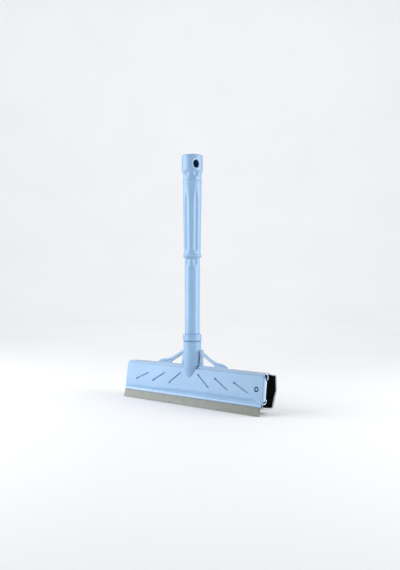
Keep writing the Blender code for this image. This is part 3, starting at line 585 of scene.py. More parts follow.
def carrier_painted_light(t, col, x, n, s):
    """A painted highlight along the end's outer corner, painted shade on the runners inside the curls."""
    # painted highlight along the end's outer corner
    rub = over(t, t.span(n, 0.0084, 0.0090, 0.0, 1.0), t.span(x, 0.1216, 0.1224, 0.0, 1.0), t.span(s, 0.0062, 0.0076, 0.0, 1.0))
    col = t.mix(t.math("MULTIPLY", rub, 0.95), col, (0.88, 0.95, 1.0))
    # painted shade on the runners inside the curls
    top = t.span(s, 0.0042, 0.0062, 1.0, 0.0)
    low = t.span(s, 0.0362, 0.0370, 0.0, 1.0)
    edge = t.math("MAXIMUM", top, low)
    # the corner inside the upper curl gets the darkest painted shade
    slant = t.math("SUBTRACT", n, t.math("MULTIPLY", s, 0.7))
    corner = over(t, t.span(slant, 0.00215, 0.00255, 0.0, 1.0), t.span(s, 0.0092, 0.0100, 1.0, 0.0), t.span(x, 0.1200, 0.1212, 0.0, 1.0))
    edge = t.math("MAXIMUM", edge, corner)
    col = t.mix(t.math("MULTIPLY", edge, 0.90), col, (0.007, 0.022, 0.060))
    return col, edge


def button_painted_shade(t, col, x, n, s):
    """Painted shade on the flange and the side wall."""
    rim = over(t, t.span(ring_of(t, x, 0.1150, s, 0.0213), 0.00165, 0.00190, 0.0, 1.0), t.span(n, 0.0001, 0.0004, 0.0, 1.0))
    col = t.mix(t.math("MULTIPLY", rim, 0.96), col, (0.006, 0.024, 0.075))
    return col, rim


HEAD_O = HEAD_M.translation
HEAD_AXES = [((1.0, 0.0, 0.0), 0.0)]
for axis in (HEAD_M.to_3x3() @ Vector((0, 1, 0)), HEAD_M.to_3x3() @ Vector((0, 0, -1))):
    HEAD_AXES.append((tuple(axis), axis.dot(HEAD_O)))

BLUE = (0.270, 0.445, 0.668)
cap_blue = plastic("cap_blue", tuple(c * 0.90 for c in BLUE), rough=(0.17, 0.25), flow=(3, 3, 0.6), bore=True, gloss=0.66)
handle_blue = plastic("handle_blue", tuple(c * 0.965 for c in BLUE), rough=(0.17, 0.25), flow=(3, 3, 0.6), gloss=0.62)
head_blue = plastic("head_blue", BLUE, rough=(0.25, 0.35), flow=(0.8, 3, 3), recess=plate_painted_light)
rear_blue = plastic("rear_blue", (0.280, 0.426, 0.612), rough=(0.30, 0.42), flow=(0.8, 3, 3), recess=rear_painted_light)
button_blue = plastic("button_blue", tuple(c * 1.06 for c in BLUE), rough=(0.22, 0.30), flow=(3, 3, 3), recess=button_painted_shade)
carrier_blue = plastic("carrier_blue", tuple(c * 1.06 for c in BLUE), rough=(0.26, 0.36), flow=(0.8, 3, 3), recess=carrier_painted_light)


def rubber(name, tones, rough=(0.50, 0.66), grain=0.35, fade=False):
    """Warm grey rubber: mottled, dusty at the edge, faint grain along the strip."""
    m, nt, nodes, links, bsdf = nodes_of(name)
    t = Tree(nt)
    v = t.coords()
    a = t.noise(v, 95.0, 5.0, 0.62, 0.4)
    b = t.noise(v, 620.0, 3.0, 0.6)
    col = t.ramp(a, [(0.28, tones[0]), (0.50, tones[1]), (0.72, tones[2])])
    col = t.mix(t.span(b, 0.42, 0.70, 0.0, 0.35), col, tones[0])
    dust = t.span(t.voronoi(v, 900.0), 0.0, 0.12, 0.40, 0.0)
    col = t.mix(dust, col, tones[3])
    geo = t.add("ShaderNodeNewGeometry")
    edge = t.span(geo.outputs["Pointiness"], 0.51, 0.58, 0.0, 0.40)
    col = t.mix(edge, col, tones[3])
    if fade:
        # greyer and darker towards the right end
        x = t.toward((1.0, 0.0, 0.0), 0.0)
        col = t.mix(1.0, col, t.ramp(t.span(x, -0.125, 0.123, 0.0, 1.0), [(0.0, (0.865, 0.895, 0.885)), (0.5, (0.755, 0.81, 0.79)),
                                                                       (1.0, (0.59, 0.63, 0.585))]), "MULTIPLY")
    links.new(col, bsdf.inputs["Base Color"])
    links.new(t.span(t.noise(v, 180.0, 4.0, 0.6), 0.3, 0.7, *rough), bsdf.inputs["Roughness"])
    n1 = t.bump(t.noise(v, 1500.0, 3.0, 0.6), grain, 0.00010)
    n2 = t.bump(t.noise(v, 160.0, 2.0, 0.5), 0.20, 0.00020, n1)
    links.new(n2, bsdf.inputs["Normal"])
    bsdf.inputs["IOR"].default_value = 1.50
    bsdf.inputs["Specular IOR Level"].default_value = 0.4
    return m


blade_grey = rubber("blade_grey", [(0.295, 0.290, 0.272), (0.345, 0.342, 0.322), (0.385, 0.382, 0.362), (0.48, 0.47, 0.44)], fade=True)
washer_dark = rubber("washer_dark", [(0.130, 0.235, 0.390), (0.155, 0.270, 0.440), (0.180, 0.305, 0.490), (0.26, 0.37, 0.52)],
                     rough=(0.60, 0.75))


def steel(name, tint, stretch, rough=(0.22, 0.36)):
    """Plain cold-drawn steel with fine lines and small stains."""
    m, nt, nodes, links, bsdf = nodes_of(name)
    t = Tree(nt)
    v, vs = t.coords(), t.coords(stretch)
    lines = t.noise(vs, 900.0, 4.0, 0.6)
    stain = t.noise(v, 260.0, 4.0, 0.6)
    col = t.ramp(lines, [(0.3, tuple(c * 0.86 for c in tint)), (0.7, tint)])
    col = t.mix(t.span(stain, 0.55, 0.75, 0.0, 0.45), col, tuple(c * 0.62 for c in tint))
    links.new(col, bsdf.inputs["Base Color"])
    links.new(t.span(lines, 0.3, 0.7, *rough), bsdf.inputs["Roughness"])
    links.new(t.bump(lines, 0.22, 0.00005), bsdf.inputs["Normal"])
    bsdf.inputs["Metallic"].default_value = 1.0
    return m


screw_steel = steel("screw_steel", (0.62, 0.62, 0.61), (1, 1, 1))
spring_steel = steel("spring_steel", (0.60, 0.61, 0.63), (0.06, 1, 1), (0.16, 0.28))


def foam():
    """Black open-cell foam."""
    m, nt, nodes, links, bsdf = nodes_of("black_foam")
    t = Tree(nt)
    v = t.coords()
    cell = t.voronoi(v, 1150.0)
    fine = t.noise(v, 2600.0, 3.0, 0.6)
    col = t.ramp(cell, [(0.05, (0.0003, 0.0003, 0.0004)), (0.35, (0.0012, 0.0012, 0.0014)), (0.65, (0.0048, 0.0048, 0.0052))])
    col = t.mix(t.span(t.noise(v, 60.0, 3.0, 0.6), 0.4, 0.7, 0.0, 0.5), col, (0.0016, 0.0016, 0.0020))
    links.new(col, bsdf.inputs["Base Color"])
    links.new(t.span(fine, 0.3, 0.7, 0.85, 1.0), bsdf.inputs["Roughness"])
    n1 = t.bump(cell, 0.9, 0.00035)
    links.new(t.bump(fine, 0.5, 0.00012, n1), bsdf.inputs["Normal"])
    bsdf.inputs["Specular IOR Level"].default_value = 0.0
    return m


black_foam = foam()


def cloth():
    """Pale short-pile cloth: loops in rows, slightly uneven colour, soft sheen."""
    m, nt, nodes, links, bsdf = nodes_of("pale_cloth")
    t = Tree(nt)
    v = t.coords()
    loops = t.voronoi(v, 1250.0)
    fuzz = t.noise(v, 3200.0, 4.0, 0.7)
    tone = t.noise(v, 45.0, 4.0, 0.6, 0.4)
    col = t.ramp(tone, [(0.30, (0.56, 0.575, 0.59)), (0.52, (0.655, 0.665, 0.675)), (0.75, (0.73, 0.735, 0.74))])
    col = t.mix(t.span(loops, 0.25, 0.62, 0.0, 0.55), col, (0.36, 0.375, 0.39))
    col = t.mix(t.span(fuzz, 0.52, 0.75, 0.0, 0.35), col, (0.82, 0.825, 0.83))
    links.new(col, bsdf.inputs["Base Color"])
    links.new(t.span(fuzz, 0.3, 0.7, 0.82, 0.98), bsdf.inputs["Roughness"])
    n1 = t.bump(loops, 0.8, 0.00045)
    links.new(t.bump(fuzz, 0.6, 0.00018, n1), bsdf.inputs["Normal"])
    bsdf.inputs["Specular IOR Level"].default_value = 0.2
    bsdf.inputs["Sheen Weight"].default_value = 0.35
    bsdf.inputs["Sheen Roughness"].default_value = 0.5
    return m


pale_cloth = cloth()

# -------------------------------------------------------------------- handle
SEG = 192
CAP_TOP, CAP_R, CAP_NECK_R, CAP_SHOULDER_Z = 14.4, 14.8, 13.0, -20.9
GRIP_TOP_Z, GRIP_BOTTOM_Z = CAP_SHOULDER_Z - SEAM, -128.2
GRIP_BORE_R, SPIGOT_R = 9.6, 9.3
HOLE_W, HOLE_H = 9.0, 11.6


def cap_radius(th, r, z):
    if r < 12.0:
        return r
    return r - groove(th, 1.22 * ease((-7.4 - z) / 4.0) * ease((z + 17.2) / 4.6))


cap_line = [(0, CAP_TOP), (9.0, CAP_TOP), (12.0, CAP_TOP - 0.01)]
cap_line += [(12.6 + 2.2 * math.sin(math.radians(a)), CAP_TOP - 2.22 + 2.2 * math.cos(math.radians(a))) for a in range(0, 91, 9)]
cap_line += [(CAP_R, z) for z in spread(11.4, -4.5, 22)]
cap_line += curve([(CAP_R, -5.0), (CAP_R - 0.03, -6.2), (14.5, -8.2), (13.5, -10.0), (13.08, -12.0), (CAP_NECK_R, -13.6)], 5)
cap_line += [(CAP_NECK_R, z) for z in spread(-14.2, -20.6, 12)]
cap_line += [(CAP_NECK_R - 0.01, CAP_SHOULDER_Z + 0.05), (CAP_NECK_R - 0.06, CAP_SHOULDER_Z), (SPIGOT_R + 0.2, CAP_SHOULDER_Z),
             (SPIGOT_R, CAP_SHOULDER_Z - 0.3), (SPIGOT_R, -37.0), (SPIGOT_R - 0.8, -38.0), (7.6, -38.0), (7.4, -37.7),
             (7.4, -14.5), (6.8, -13.2), (0, -12.0)]
hanging_cap = solid("cap", *turned(cap_line, SEG, cap_radius), HANDLE_M)

hole_dir = Vector((math.sin(math.radians(FLUTE_AZ)), -math.cos(math.radians(FLUTE_AZ)), 0))
hole_side = Vector((hole_dir.y, -hole_dir.x, 0))


def hole_ring(w, h, dist, steps=64):
    ring = []
    for k in range(steps):
        a = 2 * math.pi * (k + 0.5) / steps
        ring.append(tuple(hole_dir * dist + hole_side * (w / 2 * math.cos(a)) + Vector((0, 0, h / 2 * math.sin(a) - DATUM_Z))))
    return ring


hole_rings, face_r, mouth = [], 13.95, 1.15
for side in (-1, 1):
    part = [(side * 17.5, 2 * mouth + 1.2)]
    for i in range(9):
        a = math.radians(90 * i / 8)
        part.append((side * (face_r - mouth * (1 - math.cos(a))), 2 * mouth * (1 - math.sin(a))))
    hole_rings += part if side < 0 else list(reversed(part))
boolean(hanging_cap, solid("hole", *loft([hole_ring(HOLE_W + g, HOLE_H + g, d) for d, g in hole_rings]), HANDLE_M))
finished(hanging_cap, cap_blue, "handle", "hanging_cap", smooth=28)


def grip_outer(z):
    return 13.0 - 1.0 * ease((-45.0 - z) / 75.0)


def grip_depth(z):
    return 1.02 * ease((-29.5 - z) / 20.0) * ease((z + 122.0) / 7.0)


def grip_radius(th, r, z):
    if r <= GRIP_BORE_R + 0.2 or z > -29.0 or z < -122.5:
        return r
    width = 0.955 * FLUTE_WIDTH * (0.45 + 0.55 * ease((-29.5 - z) / 26.0))
    return r - groove(th, grip_depth(z), width)


grip_line = [(GRIP_BORE_R + 0.3, GRIP_TOP_Z), (12.5, GRIP_TOP_Z), (12.94, GRIP_TOP_Z), (12.99, GRIP_TOP_Z - 0.05)]
grip_line += [(12.9 + 0.8 * math.sin(math.pi * t), GRIP_TOP_Z - 5.8 * t) for t in spread(0.05, 1.0, 26)]
grip_line += [(grip_outer(z), z) for z in spread(-27.4, -122.3, 150)]
grip_line += [(12.0 + 1.1 * math.sin(math.pi * t), -122.8 - 4.6 * t) for t in spread(0.0, 1.0, 24)]
grip_line += [(11.75, -127.75), (11.45, GRIP_BOTTOM_Z), (GRIP_BORE_R + 0.3, GRIP_BOTTOM_Z), (GRIP_BORE_R, GRIP_BOTTOM_Z + 0.3),
              (GRIP_BORE_R, -75.0), (GRIP_BORE_R, GRIP_TOP_Z - 0.3)]
finished(solid("grip", *turned(grip_line, SEG, grip_radius), HANDLE_M),
         handle_blue, "handle", "handle_grip", smooth=40, weighted=False)

SHAFT_TOP_Z, SHAFT_BOTTOM_Z, SHAFT_BORE_R = GRIP_BOTTOM_Z - SEAM, -233.4, 8.2


def shaft_radius(th, r, z):
    if r <= SPIGOT_R + 0.2:
        return r
    return r - groove(th, 0.95 * ease((-128.8 - z) / 2.0) * ease((z + 141.0) / 6.0))


shaft_line = [(SHAFT_BORE_R, -94.3), (SHAFT_BORE_R + 0.3, -94.0), (SPIGOT_R - 0.6, -94.0), (SPIGOT_R, -95.0),
              (SPIGOT_R, SHAFT_TOP_Z + 0.2), (SPIGOT_R + 0.2, SHAFT_TOP_Z), (10.45, SHAFT_TOP_Z)]
shaft_line += curve([(10.58, -128.62), (10.5, -129.1), (10.36, -129.7), (10.3, -130.5), (10.45, -132.0), (10.65, -133.6),
                     (10.74, -135.2), (10.75, -137.5), (10.75, -140.0), (10.74, -142.5), (10.72, -145.0)], 6)
shaft_line += [(10.72 - 0.37 * ease((-145.0 - z) / 84.0), z) for z in spread(-147.0, -232.9, 40)]
shaft_line += [(10.3, -233.2), (10.1, SHAFT_BOTTOM_Z), (SHAFT_BORE_R + 0.3, SHAFT_BOTTOM_Z), (SHAFT_BORE_R, SHAFT_BOTTOM_Z + 0.3)]
finished(solid("shaft", *turned(shaft_line, SEG, shaft_radius), HANDLE_M),
         handle_blue, "handle", "handle_shaft", smooth=35, weighted=False)

COLLAR_R, COLLAR_TOP_Z, COLLAR_BOTTOM_Z = 13.2, SHAFT_BOTTOM_Z - SEAM, -242.2
THREAD_CREST_R, THREAD_ROOT_R, THREAD_PITCH, THREAD_BOTTOM_Z = 9.45, 7.7, 5.08, -267.6


def thread_radius(th, z):
    turn = (z / THREAD_PITCH - th / (2 * math.pi)) % 1.0
    rise = 0.5 - abs(turn - 0.5)
    height = ease((rise - 0.10) / 0.22)
    fade = ease((COLLAR_BOTTOM_Z - 1.2 - z) / 2.0) * ease((z - THREAD_BOTTOM_Z - 0.8) / 2.5)
    return THREAD_ROOT_R + (THREAD_CREST_R - THREAD_ROOT_R) * height * fade


def plug_radius(th, r, z):
    return thread_radius(th, z) if COLLAR_BOTTOM_Z - 0.35 > z > THREAD_BOTTOM_Z + 0.5 else r


plug_line = [(0, -212.0), (SHAFT_BORE_R - GAP - 0.8, -212.0), (SHAFT_BORE_R - GAP - 0.2, -212.3), (SHAFT_BORE_R - GAP, -213.0),
             (SHAFT_BORE_R - GAP, COLLAR_TOP_Z + 0.2), (SHAFT_BORE_R - GAP + 0.2, COLLAR_TOP_Z), (COLLAR_R - 1.5, COLLAR_TOP_Z)]
plug_line += [(COLLAR_R - 1.2 + 1.2 * math.sin(math.radians(a)), COLLAR_TOP_Z - 1.2 + 1.2 * math.cos(math.radians(a)))
              for a in range(15, 91, 15)]
plug_line += [(COLLAR_R, -235.55), (COLLAR_R - 0.10, -235.72), (COLLAR_R - 0.26, -235.95), (COLLAR_R - 0.30, -236.2),
              (COLLAR_R - 0.26, -236.45), (COLLAR_R - 0.10, -236.68), (COLLAR_R, -236.85)]
plug_line += [(COLLAR_R, z) for z in spread(-237.5, -241.4, 5)]
plug_line += [(COLLAR_R - 0.12, -241.8), (COLLAR_R - 0.4, -242.1), (COLLAR_R - 0.8, COLLAR_BOTTOM_Z),
              (THREAD_ROOT_R + 0.4, COLLAR_BOTTOM_Z), (THREAD_ROOT_R + 0.1, COLLAR_BOTTOM_Z - 0.12)]
plug_line += [(THREAD_ROOT_R, z) for z in spread(COLLAR_BOTTOM_Z - 0.4, THREAD_BOTTOM_Z + 0.8, 110)]
plug_line += [(THREAD_ROOT_R - 0.25, THREAD_BOTTOM_Z + 0.25), (THREAD_ROOT_R - 0.9, THREAD_BOTTOM_Z), (0, THREAD_BOTTOM_Z)]
finished(solid("plug", *turned(plug_line, 144, plug_radius), HANDLE_M),
         handle_blue, "handle", "threaded_plug", smooth=40, weighted=False)

WASHER_R, wt, wb = 12.2, COLLAR_BOTTOM_Z - SEAM, -243.5
finished(solid("washer_ring", *turned([
    (THREAD_CREST_R + 0.45, wt - 0.2), (THREAD_CREST_R + 0.65, wt), (WASHER_R - 0.25, wt), (WASHER_R - 0.07, wt - 0.07), (WASHER_R, wt - 0.22),
    (WASHER_R, wb + 0.22), (WASHER_R - 0.07, wb + 0.07), (WASHER_R - 0.25, wb), (THREAD_CREST_R + 0.65, wb),
    (THREAD_CREST_R + 0.45, wb + 0.2)], SEG), HANDLE_M),
    washer_dark, "washer", "handle_washer", smooth=45, weighted=False)

# ------------------------------------------------------- front plate, socket
SOCKET_R, SOCKET_BORE_R, SOCKET_TOP_Z, SOCKET_FLOOR_Z = 12.4, 9.8, -243.6, -271.6
PLATE_T, PLATE_TOP_S = 2.2, 3.6
COVE_S0, COVE_S1, COVE_DEEP = 31.0, 39.4, 1.1
BEAD_S, BEAD_N, BEAD_R = 41.5, 1.5, 2.4
LIP_BACK_N, POCKET_S = 0.5, 40.3
SCREWS = [(-90.0, 29.5), (-28.0, 29.5), (28.0, 29.5), (90.0, 29.5), (-58.0, 8.5), (58.0, 8.5)]
SLOTS = [(16.2, 11.3, 35.8, 26.5), (46.4, 13.8, 68.0, 26.3), (78.8, 16.3, 101.4, 26.5)]
BUTTON_X, BUTTON_S = 115.0, 21.3


def corner_drop(x, r_left, r_right):
    """How far a top corner of radius r has come down at x."""
    r = r_left if x < 0 else r_right
    d = min(abs(x) - (HALF - r), r * 0.995)
    return r - math.sqrt(r * r - d * d) if d > 0 else 0.0


def plate_section(x):
    top = PLATE_TOP_S + corner_drop(x, 3.0, 2.0)
    # the cove is drawn narrower and shallower towards the left end
    left = ease((10.0 - x) / 95.0)
    deep = COVE_DEEP * ease((HALF - 2.0 - abs(x)) / 22.0) * (1.0 - 0.34 * left)
    power = 3.0 + 3.2 * left
    out = arc(PLATE_T - 0.3, top + 0.3, 0.3, 0, -90, 3) + arc(0.9, top + 0.9, 0.9, -90, -180, 7)
    out += [(0.0, s) for s in (8.0, 14.0, 22.0, 29.0)]
    for t in spread(0.0, 0.985, 28):
        out.append((deep * math.sin(math.pi * t ** power) + 0.34 * t ** 6, COVE_S0 + (COVE_S1 - COVE_S0) * t))
    for a in spread(-58, 62, 26):
        out.append((BEAD_N - BEAD_R * math.cos(math.radians(a)), BEAD_S + BEAD_R * math.sin(math.radians(a))))
    out += [(0.6, 43.66), (0.85, 43.62), (0.95, 43.45), (0.95, 42.85), (0.85, 42.66), (LIP_BACK_N, 42.45), (LIP_BACK_N, POCKET_S),
            (PLATE_T - 0.3, POCKET_S), (PLATE_T, POCKET_S - 0.3)]
    return out


def end_stations(half, radii, fade=(), middle=()):
    xs = set([-half, half]) | set(middle)
    for side, r in zip((-1, 1), radii):
        for i in range(1, 9):
            xs.add(side * (half - r + r * math.sin(math.radians(90 * i / 9))))
        xs.add(side * (half - r))
    for d in fade:
        xs |= {-(half - d), half - d}
    return sorted(xs)


plate_x = end_stations(HALF, (3.0, 2.0), [2.0 + 2.2 * i for i in range(0, 11)], [-90.0, -75.0, -60.0, -45.0, -30.0, -15.0, 0.0, 15.0, 60.0])
front_plate = solid("slotted_plate", *bar(plate_section, plate_x, 0.25, 0.25), HEAD_M)

socket_line = [(0, SOCKET_TOP_Z), (SOCKET_R - 0.9, SOCKET_TOP_Z)]
socket_line += [(SOCKET_R - 0.7 + 0.7 * math.sin(math.radians(a)), SOCKET_TOP_Z - 0.7 + 0.7 * math.cos(math.radians(a)))
                for a in range(15, 91, 15)]
socket_line += [(SOCKET_R, -262.0), (SOCKET_R, -276.0)]
socket_line += curve([(SOCKET_R, -277.6), (12.34, -278.8), (11.4, -281.9), (10.0, -286.3), (8.9, -289.6), (8.0, -291.3),
                      (6.4, -292.6), (4.2, -293.3)], 5) + [(0, -293.6)]


def in_head(shape):
    return [tuple(TO_HEAD @ Vector(v)) for v in shape[0]], shape[1]


def box(x0, x1, n0, n1, s0, s1):
    return plate([(x0, s0), (x1, s0), (x1, s1), (x0, s1)], n0, n1, 0, 0)


socket = solid("socket", *in_head(turned(socket_line, 160)), HEAD_M)
boolean(socket, solid("behind", *box(-20, 20, 1.6, 40, -0.4, 40), HEAD_M))
boolean(socket, solid("foot", *box(-21, 21, 12.5, 41, -1.7, 41), HEAD_M))
boolean(front_plate, socket, "UNION")
boolean(front_plate, solid("bosses", *merged([
    along([(0, 0), (2.7, 0), (2.7, 1.95), (2.45, 2.2), (0, 2.2)], 40, (x, PLATE_T - 0.6, -s)) for x, s in SCREWS]), HEAD_M), "UNION")
bore_line = [(0, SOCKET_TOP_Z + 3), (SOCKET_BORE_R + 1.3, SOCKET_TOP_Z + 3), (SOCKET_BORE_R + 1.3, SOCKET_TOP_Z + 0.01),
             (SOCKET_BORE_R + 0.7, SOCKET_TOP_Z - 0.25), (SOCKET_BORE_R + 0.1, SOCKET_TOP_Z - 0.9), (SOCKET_BORE_R, SOCKET_TOP_Z - 1.3),
             (SOCKET_BORE_R, SOCKET_FLOOR_Z + 0.5), (SOCKET_BORE_R - 0.5, SOCKET_FLOOR_Z), (0, SOCKET_FLOOR_Z)]
boolean(front_plate, solid("bore", *in_head(turned(bore_line, 128)), HEAD_M))


def capsule(x0, s0, x1, s1, width, steps=14):
    d = math.atan2(s1 - s0, x1 - x0)
    out = []
    for (cx, cs), a0 in (((x1, s1), d - math.pi / 2), ((x0, s0), d + math.pi / 2)):
        for k in range(steps + 1):
            a = a0 + math.pi * k / steps
            out.append((cx + width / 2 * math.cos(a), cs + width / 2 * math.sin(a)))
    return out


slot_cut, slot_ends = [], []
for x0, s0, x1, s1 in SLOTS:
    slot_cut.append(pocket(capsule(x0, s0, x1, s1, 2.15), 0.0, 1.35, lip=0.12, floor=0.2))
    slot_cut.append(pocket(capsule(-x1, s1, -x0, s0, 2.15), 0.0, 1.35, lip=0.12, floor=0.2))
    # each slot is a little wider and deeper at its left end
    slot_ends.append(pocket(capsule(x0, s0, x0 + 1.0, s0 + 0.7, 2.5), 0.0, 1.75, lip=0.12, floor=0.2))
    slot_ends.append(pocket(capsule(-x1, s1, -x1 + 1.0, s1 - 0.6, 2.5), 0.0, 1.75, lip=0.12, floor=0.2))
boolean(front_plate, solid("slots", *merged(slot_cut), HEAD_M))
boolean(front_plate, solid("slot_ends", *merged(slot_ends), HEAD_M))

hole_line = [(0, -2.0), (3.52, -2.0)]
hole_line += [(3.52 - 0.15 * math.sin(math.radians(a)), 0.15 * (1 - math.cos(math.radians(a))) + 0.004) for a in range(0, 91, 15)]
hole_line += [(3.37, 1.2), (3.8, 1.2), (3.8, 3.0), (0, 3.0)]
boolean(front_plate, solid("button_hole", *along(hole_line, 72, (BUTTON_X, 0, -BUTTON_S)), HEAD_M))
boolean(front_plate, solid("pilots", *merged([
    along([(0, 0), (1.6, 0), (1.6, 5.0), (0, 5.0)], 24, (x, 1.0, -s)) for x, s in SCREWS]), HEAD_M))
finished(front_plate, head_blue, "head", "front_plate", smooth=30)

# -------------------------------------------------------------- rear channel
WEB_N0, WEB_N1, WEB_LOW_N0 = PLATE_T + GAP, 4.9, 3.3
HOOK_N, HOOK_R, HOOK_T = 7.6, 5.1, 1.6
TOP_HOOK_S, LOW_HOOK_S = 5.2, 34.9


def channel_section(x):
    hook_in = HOOK_R - HOOK_T
    tip = HOOK_T / 2
    top = TOP_HOOK_S
    pts = arc(3.1, 1.25, 0.6, 180, 250, 3)
    pts += arc(HOOK_N, top, HOOK_R, -128, 0, 22)
    pts += arc(HOOK_N + HOOK_R - tip, 8.6 - tip, tip, 0, 180, 8)
    pts += arc(HOOK_N, top, hook_in, 0, -90, 12)
    pts += arc(WEB_N1 + 0.8, top - hook_in + 0.8, 0.8, -90, -180, 4)
    pts += [(WEB_N1, 12.0), (WEB_N1, 20.0), (WEB_N1, 28.0)]
    pts += arc(WEB_N1 + 0.8, LOW_HOOK_S + hook_in - 0.8, 0.8, 180, 90, 4)
    pts += arc(HOOK_N, LOW_HOOK_S, hook_in, 90, 0, 12)
    pts += arc(HOOK_N + HOOK_R - tip, 33.2 + tip, tip, 180, 360, 8)
    pts += arc(HOOK_N, LOW_HOOK_S, HOOK_R, 0, 90, 16)
    pts += arc(WEB_N1 + 0.5, LOW_HOOK_S + HOOK_R + 0.6, 0.6, -90, -180, 4)
    pts += [(WEB_N1 - 0.1, 42.7), (WEB_N1 - 0.4, 43.0), (WEB_LOW_N0 + 0.2, 43.0), (WEB_LOW_N0, 42.8), (WEB_LOW_N0, 37.0), (WEB_N0, 36.2)]
    drop = corner_drop(x, 4.0, 0.01)
    if drop:
        pts = [(n, max(s, TOP_HOOK_S - HOOK_R + drop + 0.0005 * i)) for i, (n, s) in enumerate(pts)]
    return pts


# the top corner at the left comes down with plain cuts, so the section stays whole
rear_x = [-HALF, -121.0, -100.0, -60.0, -20.0, 20.0, 60.0, 100.0, 121.0, HALF]
flat_section = channel_section(0.0)
rear_channel = solid("channel", *bar(lambda x: flat_section, rear_x, 0.3, 0.3), HEAD_M)

wall_outline = rounded([(WEB_N1 - 1.0, 1.0), (HOOK_N + HOOK_R - 0.8, 1.0), (HOOK_N + HOOK_R - 0.8, 39.0), (WEB_N1 - 1.0, 39.0)],
                       [0, 4.4, 4.4, 0], 10)
boolean(rear_channel, solid("end_wall", *bar(lambda x: wall_outline, [-HALF + 0.05, -HALF + 1.0, -HALF + 2.0], 0.25, 0.3), HEAD_M), "UNION")


def corner_cut(x, s, r, n0, n1):
    side = 1 if x > 0 else -1
    pts = [(x + 2 * side, s - 2), (x + 2 * side, s + r), (x, s + r)]
    for k in range(1, 14):
        a = math.radians(90 * k / 14)
        pts.append((x - side * r * (1 - math.cos(a)), s + r * (1 - math.sin(a))))
    pts += [(x - side * r, s), (x - side * r, s - 2)]
    return plate(pts if side < 0 else list(reversed(pts)), n0, n1, 0, 0)


boolean(rear_channel, solid("corner", *corner_cut(-HALF, TOP_HOOK_S - HOOK_R, 4.0, 0, 20), HEAD_M))

WING = [(64.8, 1.2), (64.3, -0.6), (60.2, -3.9), (53.6, -6.2), (45.0, -7.5), (36.3, -10.3), (28.5, -14.4), (21.3, -18.6), (15.2, -22.0)]
wing_edge = curve(WING, 5)
wing_outline = wing_edge + [(-x, s) for x, s in reversed(wing_edge)] + [(-64.8, 3.0), (64.8, 3.0)]
boolean(rear_channel, solid("wings", *plate(wing_outline, WEB_N0, WEB_N1, 0.35, 0.45), HEAD_M), "UNION")
rim_inner = curve([(56.0, -3.2), (45.0, -4.4), (36.3, -7.0), (28.5, -10.8), (21.0, -15.3), (15.4, -18.6)], 5)
rim_right = wing_edge[10:] + [(x, s) for x, s in reversed(rim_inner)]
rim_left = [(-x, s) for x, s in reversed(rim_right)]
boolean(rear_channel, solid("rims", *merged([plate(rim_right, 1.2, WEB_N0 + 0.6, 0.4, 0), plate(rim_left, 1.2, WEB_N0 + 0.6, 0.4, 0)]), HEAD_M), "UNION")
WINDOW_R = rounded([(16.8, -15.6), (44.0, -1.4), (16.8, -1.4)], [1.0, 0.7, 0.9], 8)
WINDOW_L = rounded([(-17.8, -15.0), (-17.8, -1.4), (-41.0, -1.4)], [1.0, 0.9, 0.7], 8)
boolean(rear_channel, solid("windows", *merged([
    through(WINDOW_R, WEB_N0, WEB_N1, 0.35), through(WINDOW_L, WEB_N0, WEB_N1, 0.35)]), HEAD_M))
boolean(rear_channel, solid("uprights", *box(-15.0, 15.0, -5, 9.0, -19.6, -0.1), HEAD_M))
saddle = solid("saddle", *in_head(turned([
    (SOCKET_R - 1.0, -255.9), (SOCKET_R + 2.8, -255.9), (SOCKET_R + 3.1, -256.05), (SOCKET_R + 3.2, -256.4), (SOCKET_R + 3.2, -263.5),
    (SOCKET_R + 3.2, -279.5), (SOCKET_R - 1.0, -279.5)], 160)), HEAD_M)
boolean(saddle, solid("sc1", *box(-30, 30, -30, 2.2, -60, 20), HEAD_M))
boolean(saddle, solid("sc2", *box(-31, 31, 1.2, 6.0, -19.2, 21), HEAD_M))
boolean(saddle, solid("sc3", *box(-33, 33, -31.0, 12.6, 0.6, 25), HEAD_M))
boolean(saddle, solid("sc4", *box(-32, 32, 12.5, 31.0, -1.9, 24), HEAD_M))
boolean(rear_channel, saddle, "UNION")
notch = solid("notch", *in_head(turned([(0, -240.0), (SOCKET_R + 0.4, -240.0), (SOCKET_R + 0.4, -290.0), (0, -290.0)], 160)), HEAD_M)
boolean(notch, solid("ne", *box(-20, 20, -30, 40, -0.1, 40), HEAD_M))
boolean(rear_channel, notch)
boolean(rear_channel, solid("web_holes", *merged([
    along([(0, 0), (3.0, 0), (3.0, 2.1), (1.7, 2.1), (1.7, 6.0), (0, 6.0)], 40, (x, WEB_N0 - 0.5, -s)) for x, s in SCREWS
] + [along([(0, 1.0), (3.8, 1.0), (3.8, 4.1), (2.4, 4.1), (2.4, 4.6), (2.7, 4.95), (2.7, 7.0), (0, 7.0)], 48, (BUTTON_X, 0, -BUTTON_S))]), HEAD_M))
finished(rear_channel, rear_blue, "head", "rear_channel", smooth=30)

